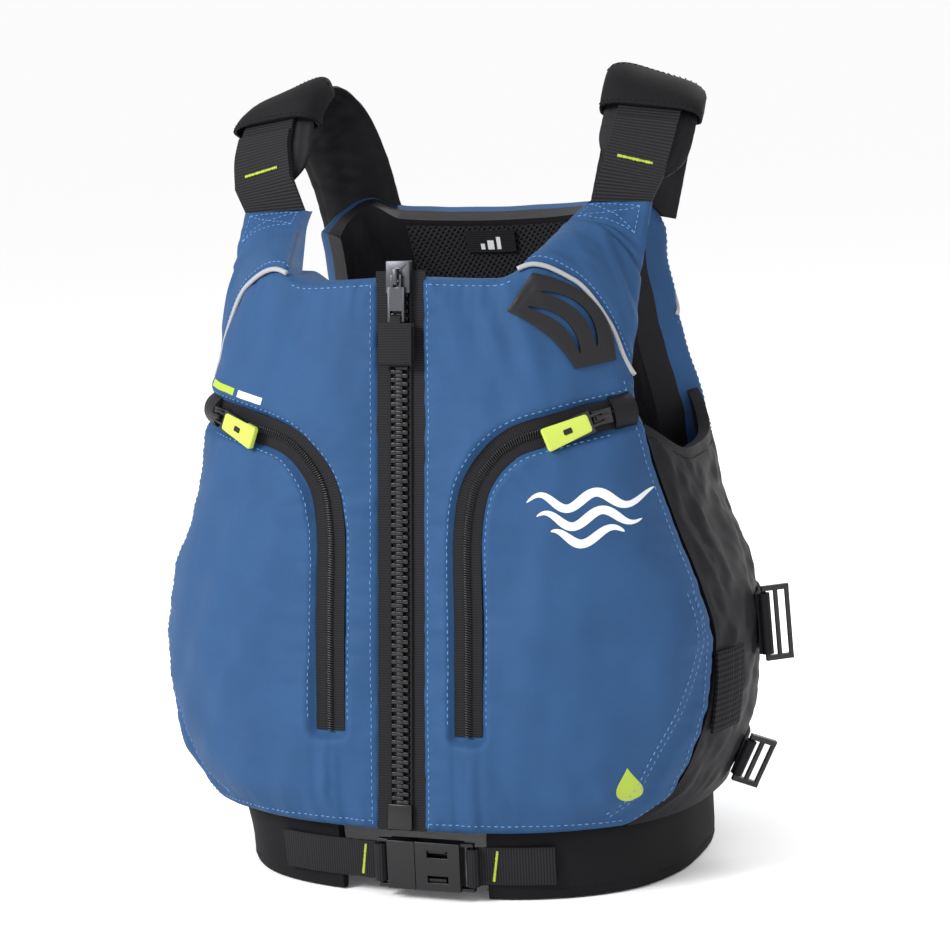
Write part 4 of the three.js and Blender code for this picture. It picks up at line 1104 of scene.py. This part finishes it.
# %% The pad's path
SHOULDER_TOP_Z, PAD_HALF, PAD_THICK, PAD_END = 495.0, 30.0, 12.0, 0.86
PAD_LINE = curve_points([[x, y, lerp(BACK_NECK_Z, SHOULDER_TOP_Z, share)] for x, y, share in (
    (98, 104, -0.08), (106, 103, 0.37), (116, 94, 0.8), (125, 75, 1), (130, 54, 0.89), (129, 40, 0.59),
    (124, 32, 0.27))], 200)
SLANT = math.radians(20)
ACROSS_0 = np.array([math.cos(SLANT), 0, -math.sin(SLANT)])
PAD_LENGTH = float(np.linalg.norm(np.diff(PAD_LINE, axis=0), axis=1).sum())


def pad_frame(v):
    """Middle, outward and across directions of the pad at shares v of its length."""
    i = np.asarray(v) * (len(PAD_LINE) - 1)
    pick = lambda a: np.stack([np.interp(i, np.arange(len(a)), a[:, k]) for k in range(3)], -1)
    along = unit(pick(unit(np.gradient(PAD_LINE, axis=0))))
    out = unit(np.cross(along, ACROSS_0))
    return pick(PAD_LINE), out, unit(np.cross(out, along))


def pad_point(v, x, out):
    at, n, across = pad_frame(v)
    return at + across * np.asarray(x, float)[..., None] + n * np.asarray(out, float)[..., None]


def pad_half(v):
    s = np.clip((v - PAD_END) / (1 - PAD_END), 0, 1)
    return PAD_HALF * np.sqrt(1 - 0.72 * s * s)


print("pad length, mm:", round(PAD_LENGTH))

# %% Pads
for side, word in SIDES:
    u, v = grid(30, 90)
    edge = 2 * u - 1
    half = (PAD_THICK / 2) * (1 - 0.9 * np.abs(edge) ** 3.4) - 0.1
    ends = np.minimum(smooth(1 - v, 0, 0.05) + 0.25, 1)
    along = v * PAD_LENGTH
    crease = 0.9 * ripple(70 + side, 26, along, u * 25) + 0.5 * ripple(72 + side, 11, along, u * 30)
    crease = crease * (1 - np.abs(edge) ** 4) * smooth(0.8 - v, 0, 0.3)
    pucker = 0.35 * ripple(74 + side, 7, along, 0 * u) * np.exp(-(1 - np.abs(edge)) / 0.12)
    seam = 0.8 * np.exp(-((np.abs(edge) - 0.86) / 0.035) ** 2)
    outer = pad_point(v, edge * pad_half(v), (half + crease * 0.8 + pucker - seam) * ends)
    inner = pad_point(v, edge * pad_half(v), -(half + crease + pucker - seam) * ends)
    pad = slab(f"pad_cover_{word}", metres(outer, side), metres(inner, side), BLACK)
    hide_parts(f"shoulder_pad_{word}")

# %% Doubled webbing and its tack
WEB_HALF, WEB_ON_PAD, WEB_STEP, FOLD_FROM = 20.0, 6.6, 1.75, 0.80
TAB_DROP = np.array([0, 2.2, -4.0])


def web_net(v0, out):
    """Webbing on the pad from share v0 to its end, then down to the yoke's tab."""
    x, v = np.meshgrid(np.linspace(-WEB_HALF, WEB_HALF, 15), np.linspace(v0, 1, 46), indexing="ij")
    on_pad = pad_point(v, x, out + 0 * x)
    across = (x[:, 0] / (TAB[1, 0] - TAB[0, 0]) + 0.5)[:, None]
    last = lerp(TAB[0], TAB[1], across) + TAB_DROP - np.array([0, 0.5, 0]) * (out - WEB_ON_PAD)
    t = np.linspace(0, 1, 14)[1:, None]
    down = on_pad[:, -1][:, None] * (1 - t) + last[:, None] * t
    return np.concatenate([on_pad, down], 1)


def tack_thread(bm):
    """One thread of a bar tack, lying across the line."""
    bmesh.ops.create_uvsphere(bm, u_segments=6, v_segments=5, radius=0.001)
    for v in bm.verts:
        v.co = Vector((v.co.x * 0.36, v.co.y * 1.25, v.co.z * 0.45))


tack_lines = []
for side, word in SIDES:
    under = slab(f"webbing_under_{word}", metres(web_net(0.5, WEB_ON_PAD + 1.5), side),
                 metres(web_net(0.5, WEB_ON_PAD), side), WEBBING)
    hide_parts(f"shoulder_webbing_{word}")
    over = slab(f"webbing_over_{word}", metres(web_net(FOLD_FROM, WEB_ON_PAD + WEB_STEP + 1.6), side),
                metres(web_net(FOLD_FROM, WEB_ON_PAD + WEB_STEP), side), WEBBING)
    x = np.linspace(-11.5, 11.5, 30)
    at = pad_point(0.955 + 0 * x, x, WEB_ON_PAD + WEB_STEP + 1.9)
    ahead = pad_point(0.955 + 0 * x, x, WEB_ON_PAD + WEB_STEP + 6.9)
    at, ahead = metres(at, side), metres(ahead, side)
    tack_lines.append((at, unit(ahead - at)))
TACK = unit_from(tack_thread)
tacks = repeated("shoulder_tacks", tack_lines, TACK, 0.00055, THREAD_LIME, unevenness=0.3, seed=3)
print("shoulder tacks:", len(tacks.data.polygons), "faces")


# %% Keeper bands
def ring_slab(name, outer, inner, material):
    """A closed band: the nets' first axis goes round, their second along."""
    nu, nv = outer.shape[:2]
    faces = []
    for i in range(nu):
        a, b = i * nv, (i + 1) % nu * nv
        for j in range(nv - 1):
            faces.append([a + j, b + j, b + j + 1, a + j + 1])
            faces.append([nu * nv + k for k in (a + j + 1, b + j + 1, b + j, a + j)])
        for j in (0, nv - 1):
            faces.append([a + j, b + j, nu * nv + b + j, nu * nv + a + j])
    round_m, along_m = np.broadcast_arrays(np.arange(nu)[:, None] * 0.004, np.arange(nv) * 0.004)
    uv = np.stack([round_m, along_m], -1).reshape(-1, 2)
    obj = mesh_object(name, np.concatenate([outer.reshape(-1, 3), inner.reshape(-1, 3)]), faces, material,
                      np.concatenate([uv, uv]))
    recalculated(obj)
    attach(obj, "vest")
    return obj


KEEPER = (8 / 14, 10.6 / 14)


def keeper_net(grow, side, bow):
    """The band goes over the webbing and under the pad; bow lifts its middle rows."""
    turn = np.linspace(0, 2 * np.pi, 56, endpoint=False)
    v = np.linspace(*KEEPER, 16)
    t, vv = np.meshgrid(turn, v, indexing="ij")
    c, s = np.cos(t), np.sin(t)
    wide = PAD_HALF + 1.0 + grow
    x = np.sign(c) * np.abs(c) ** 0.42 * wide
    high = np.where(s > 0, 5.4 * (1 - 0.42 * np.abs(x / wide) ** 5) + 5.2 + grow, 6.6 + grow)
    out = np.sign(s) * np.abs(s) ** 0.55 * high
    bulge = bow * np.sin(np.pi * (vv - KEEPER[0]) / (KEEPER[1] - KEEPER[0]))
    return metres(pad_point(vv, x * (1 + bulge / 60), out + np.sign(out) * bulge), side)


keeper_lines = []
for side, word in SIDES:
    outer = keeper_net(1.9, side, 0.5)
    band = ring_slab(f"keeper_cuff_{word}", outer, keeper_net(0.1, side, 0.3), NEOPRENE)
    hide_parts(f"keeper_band_{word}")
    middle = outer.mean((0, 1))
    for row in (1, 14):
        line = outer[2:27, row]
        keeper_lines.append((line + unit(line - middle) * 0.0002, unit(line - middle)))
stitches = repeated("keeper_stitches", keeper_lines, STITCH, 0.0036, THREAD_BLACK, unevenness=0.2, seed=6)
print("keeper band, mm wide:", round((KEEPER[1] - KEEPER[0]) * PAD_LENGTH, 1))

# %% [markdown]
# ## Back panel and linings
# The back is one padded shell. Inside it is lined with thin black nylon that drags in long soft folds, and
# a panel of spacer knit runs down the spine. The same cloth run relaxes the shell between its seams.


# %% Back shell
def back_place(u, v, out=0.0):
    across = 2 * np.asarray(u, float) - 1
    z = lerp(HEM_Z, back_top(np.abs(across)), v)
    p = on_torso(180 - np.abs(across) * back_edge_deg(z), z, out)
    p[..., 0] = np.where(across < 0, -p[..., 0], p[..., 0])
    return p


def edge_share(u, v, width, height):
    return np.minimum(np.minimum(u, 1 - u) * width, np.minimum(v, 1 - v) * height)


def yoke_seam_height(across):
    """Where the back's piped seams run, as a share of the panel's height."""
    return 0.995 - 0.17 * np.clip((across - 0.44) / 0.56, 0, 1) ** 1.4


BACK_WIDE, BACK_HIGH = 330, 380
u, v = grid(110, 110)
edge = edge_share(u, v, BACK_WIDE, BACK_HIGH)
wide, high = u * BACK_WIDE, v * BACK_HIGH
relief = 4.0 * (1 - np.exp(-edge / 16)) + 0.9 * ripple(80, 80, wide, high) + 0.5 * ripple(81, 32, wide, high)
pucker = 0.5 * ripple(82, 9, (u + v) * 350, 0 * v) + 0.5 * ripple(83, 18, wide, high)
relief += pucker * np.exp(-edge / 10) * smooth(edge, 0, 3)
across = np.abs(2 * u - 1)
yoke_seam = np.where(across > 0.42, (v - yoke_seam_height(across)) * BACK_HIGH, 20.0)
relief *= 1 - 0.5 * np.exp(-(yoke_seam / 3.2) ** 2)
near = np.clip(edge, 0, 4.5)
relief -= 4.5 - np.sqrt(4.5**2 - (4.5 - near) ** 2)
sewn = np.maximum(np.exp(-(edge / 2.2) ** 2), 0.9 * np.exp(-(yoke_seam / 3) ** 2))
net = metres(rolled(lambda out: back_place(u, v, out), relief, (4.0, 8.0, 32.5)))
faces = net_faces(*net.shape[:2], flip=True)
back = mesh_object("back_cloth", net.reshape(-1, 3), faces, BLUE, net_uv(net))
back.data.materials.append(BLACK)
i, j = np.divmod(np.arange(len(back.data.polygons)), net.shape[1] - 1)
rows_in = np.minimum(np.minimum(i, net.shape[0] - 2 - i), np.minimum(j, net.shape[1] - 2 - j))
back.data.polygons.foreach_set("material_index", (rows_in < 1).astype(np.int32))
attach(back, "vest")
pins = np.ones(net.shape[:2])
pins[SEWN_ROWS:-SEWN_ROWS, SEWN_ROWS:-SEWN_ROWS] = sewn
relaxed(back, pins.ravel(), grow=0.045, pressure=2.0, cap=0.005)
back = subdivided(back)
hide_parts("back_shell")
back_tree = surface_of(back)


def back_points(u, v, lift):
    points = metres(back_place(u, v, 0.0))
    ups = unit(metres(back_place(u, v, 5.0)) - points)
    return laid(back_tree, points, ups, lift), ups


u = np.linspace(0.02, 0.98, 120)
lines = [back_points(u, 0 * u + share, 0.0002) for share in (0.018, 0.982)]
for side, word in SIDES:
    across = np.linspace(0.45, 0.99, 70)
    u, seam = 0.5 + 0.5 * side * across, yoke_seam_height(across)
    cord, _ = back_points(u, seam, 0.0008)
    piping = tube(f"back_piping_{word}", cord, 0.0015, PIPING)
    lines.append(back_points(u, seam - 5 / BACK_HIGH, 0.0002))
v = np.linspace(0.02, 0.98, 110)
lines += [back_points(0 * v + share, v, 0.0002) for share in (0.018, 0.982)]
stitches = repeated("back_stitches", lines, STITCH, 0.0043, THREAD_BLUE, unevenness=0.2, seed=12)
print("back panel:", len(back.data.polygons), "faces")

# %% Linings, spacer knit and size label
u, v = grid(80, 80)
edge = edge_share(u, v, BACK_WIDE, BACK_HIGH)
across = np.abs(2 * u - 1)
drag = ripple(90, 55, u * BACK_WIDE + v * 150, v * 90 - u * 60)
drag += 0.6 * ripple(91, 26, u * BACK_WIDE - v * 120, v * 120)
folds = (1.7 + 1.3 * drag) * smooth(across, 0.4, 0.52) * smooth(edge, 0, 14)
inner_face = back_place(u, v, -32.8 - folds)
lining = slab("back_lining_cloth", metres(inner_face), metres(back_place(u, v, -31.3)), BLACK)
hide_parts("back_lining")
u, v = grid(50, 60, (0.315, 0.685), (0.335, 0.99))
knit_face = -35.0 - 0.5 * ripple(92, 60, u * BACK_WIDE, v * BACK_HIGH)
knit = slab("spacer_panel", metres(back_place(u, v, knit_face)), metres(back_place(u, v, -33.3)), MESH)
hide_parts("back_mesh")
u, v = grid(10, 8, (0.463, 0.537), (0.945, 0.985))
label_nets = [metres(back_place(u, v, out)) for out in (-36.8, -36.0)]
label = slab("neck_label", *label_nets, TAPE)
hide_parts("size_label")
for k, high in enumerate((0.35, 0.55, 0.75)):
    u, v = grid(3, 3, (0.488 + 0.009 * k, 0.4935 + 0.009 * k), (0.951, 0.951 + 0.03 * high))
    bar = slab(f"size_bar_{k + 1}", metres(back_place(u, v, -37.1)), metres(back_place(u, v, -36.9)), WHITE)
for side, word in SIDES:
    u, v = grid(40, 80)
    edge = edge_share(u, v, 130.0, 340.0)
    folds = (1.2 + 1.1 * ripple(94 + side, 40, u * 130, v * 340)) * smooth(edge, 0, 12)
    cloth = slab(f"front_lining_cloth_{word}", metres(place_front(u, v, -30.9 - folds), side),
                 metres(place_front(u, v, -29.6), side), BLACK)
    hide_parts(f"front_lining_{word}")
    core = softened(f"foam_core_{word}", f"front_foam_{word}", FOAM, 0.002)
core = softened("foam_core_back", "back_foam", FOAM, 0.002)
print("linings done")

# %% [markdown]
# ## Sides, webbing and ladder-locks
# Stretchy black side panels join front and back. A ribbed elastic and two webbing straps cross them, each
# with a ladder-lock that tightens the vest.


# %% Side panels
def side_place(u, v, out):
    z = lerp(HEM_Z, side_top(u), v)
    return on_torso(lerp(deg_at(wing_x(z), z) + 0.2, 179.6 - back_edge_deg(z), u), z, -1.5 + out)


side_lines = []
for side, word in SIDES:
    u, v = grid(60, 80)
    edge = edge_share(u, v, 200.0, 240.0)
    folds = 1.3 * ripple(100 + side, 45, u * 200, v * 160) + 0.6 * ripple(102 + side, 18, u * 200, v * 240)
    folds = folds * smooth(edge, 0, 16) - 0.6
    panel_face, panel_back = metres(side_place(u, v, folds), side), metres(side_place(u, v, -8.0), side)
    panel = slab(f"side_cloth_{word}", panel_face, panel_back, BLACK)
    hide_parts(f"side_panel_{word}")
    u, v = grid(50, 40)
    deg, z = lerp(72.0, 86.0, u), lerp(96.0, 147.0, v)
    gather = 0.28 * np.sin(u * 14 * 2 * np.pi)
    elastic = slab(f"side_elastic_band_{word}", metres(on_torso(deg, z, 0.9 + gather), side),
                   metres(on_torso(deg, z, -1.2), side), ELASTIC)
    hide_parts(f"side_elastic_{word}")
    for level in ("upper", "lower"):
        softened(f"{level}_strap_{word}", f"{level}_side_webbing_{word}", WEBBING_SIDE, 0.0003)
        softened(f"{level}_lock_{word}", f"{level}_ladder_lock_{word}", PLASTIC, 0.0007)
    u = np.linspace(0.03, 0.97, 60)
    top = 0 * u + 0.97
    low = metres(side_place(u, top, -0.2), side)
    side_lines.append((low, unit(metres(side_place(u, top, 4.8), side) - low)))
stitches = repeated("side_stitches", side_lines, STITCH, 0.0042, THREAD_BLACK, unevenness=0.2, seed=15)
print("side panels done")

# %% [markdown]
# ## Waistband, belt and buckle
# The waistband is bound neoprene. A webbing belt closes the gap at its front with a side-release buckle,
# and lime tacks hold its ends.

# %% Waistband
WAIST_OPEN = float(deg_at(52.0, HEM_Z))


def waist_place(turn, z, out):
    deg = np.where(turn > 180, 360 - turn, turn)
    p = on_torso(deg, 0 * deg + HEM_Z, out - 14.0)
    p[..., 0] = np.where(turn > 180, -p[..., 0], p[..., 0])
    p[..., 2] = z
    return p


t, z = grid(240, 14, (WAIST_OPEN, 360 - WAIST_OPEN), (0.0, 43.6))
bead = 0.5 * np.exp(-((z - 5.5) / 1.4) ** 2)
swell = -1.4 * (1 - np.sqrt(np.clip(1 - (np.abs(z - 21.8) / 21.8) ** 8, 0, 1)))
outer = metres(waist_place(t, z, swell - bead + 0.35 * ripple(110, 70, t * 3, z)))
inner = metres(waist_place(t, z, -7.0 - swell))
band = slab("waist_band", outer, inner, NEOPRENE)
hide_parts("waistband")
line_lo = waist_place(t[:, 0], 0 * t[:, 0] + 6.0, 0 * t[:, 0] - 0.35)
ups = unit(metres(waist_place(t[:, 0], 0 * t[:, 0] + 6.0, 5.0)) - metres(line_lo))
stitches = repeated("waist_stitches", [(metres(line_lo), ups)], STITCH, 0.0042, THREAD_BLACK,
                    unevenness=0.2, seed=17)
softened("belt_strap_left", "belt_webbing_left", WEBBING_SIDE, 0.0003)
softened("belt_strap_right", "belt_webbing_right", WEBBING_SIDE, 0.0003)
softened("buckle_socket_shell", "buckle_socket", PLASTIC, 0.0012, 3)
softened("buckle_plug_shell", "buckle_plug", PLASTIC, 0.0008, 3)
for word, body, end in (("left", "vest", 0.056), ("right", "belt_plug", -0.032)):
    low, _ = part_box(f"belt_webbing_{word}")
    tree = surface_of(bpy.data.objects[f"belt_strap_{word}"])
    z = np.linspace(0.0125, 0.0315, 24)
    points = np.stack([end + (z - 0.022) * 0.15, 0 * z + low[1], z], -1)
    points = laid(tree, points, np.array([0, -1.0, 0]), 0.0002, reach=0.03)
    tack = repeated(f"belt_tack_{word}", [(points, (0, -1, 0))], TACK, 0.00055, THREAD_LIME, body, 0.3, 5)
print("waist done")

# %% [markdown]
# ## Lash patch and printed marks
# The moulded rubber patch has two curved slots for clipping gear: the plate and two lens-shaped cutters
# share one small frame. The front carries three waves, a drop and two bars as printed film.

# %% Lash patch
PATCH = [np.array(c, float) for c in ((69, 365), (107, 328.5), (127, 332), (83, 388))]


def patch_place(u, v):
    a, b, c, d = PATCH
    u, v = u[..., None], v[..., None]
    p = lerp(lerp(a, b, u), lerp(d, c, u), v)
    return p + 4 * lerp(3.0, 9.5, v) * u * (1 - u)


def patch_net(u, v, lift, tree):
    p = patch_place(u, v)
    points = metres(on_front(p[..., 0], p[..., 1], 0.0))
    ups = unit(metres(on_front(p[..., 0], p[..., 1], 5.0)) - points)
    flat = laid(tree, points, ups, 0.0)
    height = ((flat - points) * ups).sum(-1)
    uu, vv = u.ravel(), v.ravel()
    terms = np.stack([np.ones(u.size), uu, vv, uu ** 2, vv ** 2, uu * vv], 1)
    fit = (terms @ np.linalg.lstsq(terms, height.ravel(), rcond=None)[0]).reshape(u.shape)
    return points + ups * (np.maximum(fit, height) + lift)[..., None]


tree = surface_of(panels["left"])
u, v = grid(40, 22)
rim = edge_share(u, v, 50.0, 22.0)
crown = 0.0026 - 0.0009 * np.exp(-(rim / 0.8) ** 2) - 0.0005 * np.exp(-((rim - 2.6) / 0.5) ** 2)
patch = slab("lash_patch_rubber", patch_net(u, v, crown, tree), patch_net(u, v, 0.0001, tree), RUBBER)
for centre in (0.31, 0.69):
    u, t = grid(30, 5, (0.14, 0.86), (-1, 1))
    half = 0.058 * np.sqrt(np.clip(1 - ((u - 0.5) / 0.361) ** 2, 0.0004, 1))
    bow = centre + 0.1 * (1 - ((u - 0.5) / 0.36) ** 2) - 0.05
    across = bow + t * half
    lens = slab("lens", patch_net(u, across, 0.006, tree), patch_net(u, across, -0.004, tree), RUBBER)
    cutter = patch.modifiers.new("slot", "BOOLEAN")
    cutter.object, cutter.operation, cutter.solver = lens, "DIFFERENCE", "EXACT"
    graph = bpy.context.evaluated_depsgraph_get()
    mesh = bpy.data.meshes.new_from_object(patch.evaluated_get(graph))
    patch.modifiers.remove(cutter)
    patch.data = mesh
    bpy.data.objects.remove(lens)
patch.data.set_sharp_from_angle(angle=math.radians(40))
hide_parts("lash_patch")
print("lash patch:", len(patch.data.polygons), "faces")

# %% Marks
t = np.linspace(0, 1, 60)
swell = np.sin(np.pi * t) ** 0.6
for k, (drop, length) in enumerate(((11, 66), (0, 54), (-11, 38))):
    x = 114 + length * (t - 0.5)
    z = 238 + drop + 4.5 * np.sin(t * 2.2 * 2 * np.pi * length / 66 + 0.6 * k)
    wave = front_ribbon(f"wave_mark_{k + 1}", np.stack([x, z], -1), 5.2 * swell + 0.3, 1, tree, WHITE)
drop_line = np.stack([136 + 0 * t, 65 + 21 * t], -1)
drop_width = 15.5 * np.sin(np.pi * t**0.62) * (1 - 0.35 * t) + 0.3
drop = front_ribbon("drop_mark", drop_line, drop_width, 1, tree, LIME_PRINT, across=9)
for name, x0, x1, material in (("white", 91, 108, WHITE), ("lime", 111, 130, LIME_PRINT)):
    x = np.linspace(x0, x1, 12)
    bar = front_ribbon(f"bar_mark_{name}", np.stack([x, lerp(309, 319, (x - 89) / 42)], -1), 4.6, -1,
                       tree_of["right"], material)
print("CAD nodes still showing:", sorted(n for n, o in NODES.items() if not o.hide_render))

# %% [markdown]
# ## Camera, floor and light

# %% Camera
AZIMUTH, ELEVATION, ROLL_DEG, DISTANCE = 22, 8, -2.5, 1.7
target = Vector((0.019, -0.0389, 0.255))
a, e = math.radians(AZIMUTH), math.radians(ELEVATION)
back_dir = Vector((math.sin(a) * math.cos(e), -math.cos(a) * math.cos(e), math.sin(e)))
right_dir = Vector((math.cos(a), math.sin(a), 0))
up_dir = back_dir.cross(right_dir)
r = math.radians(ROLL_DEG)
right_rolled = right_dir * math.cos(r) + up_dir * math.sin(r)
up_rolled = up_dir * math.cos(r) - right_dir * math.sin(r)
camera_data = bpy.data.cameras.new("camera")
camera_data.lens, camera_data.sensor_width = 100, 36
camera = bpy.data.objects.new("camera", camera_data)
bpy.context.scene.collection.objects.link(camera)
camera.matrix_world = Matrix((right_rolled, up_rolled, back_dir)).transposed().to_4x4()
camera.location = target + back_dir * DISTANCE
bpy.context.scene.camera = camera

# %% Floor and lights
bpy.context.scene.view_settings.view_transform = "Standard"
world = bpy.data.worlds.new("studio")
bpy.context.scene.world = world
world.use_nodes = True
world.node_tree.nodes["Background"].inputs["Color"].default_value = (1, 1, 1, 1)
world.node_tree.nodes["Background"].inputs["Strength"].default_value = 0.97

floor_material, _, _ = finish("pale_floor", "#ffffff", 1.0, Specular_IOR_Level=0.0)
bpy.ops.mesh.primitive_plane_add(size=60, location=(0, 0, -0.001))
floor = bpy.context.object
floor.name = "floor"
floor.data.materials.append(floor_material)


def area_light(name, place, aim, size, power):
    data = bpy.data.lights.new(name, "AREA")
    data.shape, data.size, data.energy = "SQUARE", size, power
    light = bpy.data.objects.new(name, data)
    bpy.context.scene.collection.objects.link(light)
    light.location = place
    light.rotation_euler = (Vector(aim) - Vector(place)).to_track_quat("-Z", "Y").to_euler()


area_light("key", (-1.3, -1.9, 1.7), (0, 0, 0.27), 0.9, 78)
area_light("fill", (1.9, -1.2, 0.9), (0, 0, 0.27), 1.6, 6)
area_light("rim", (0.6, 1.9, 1.9), (0, 0, 0.3), 1.0, 30)
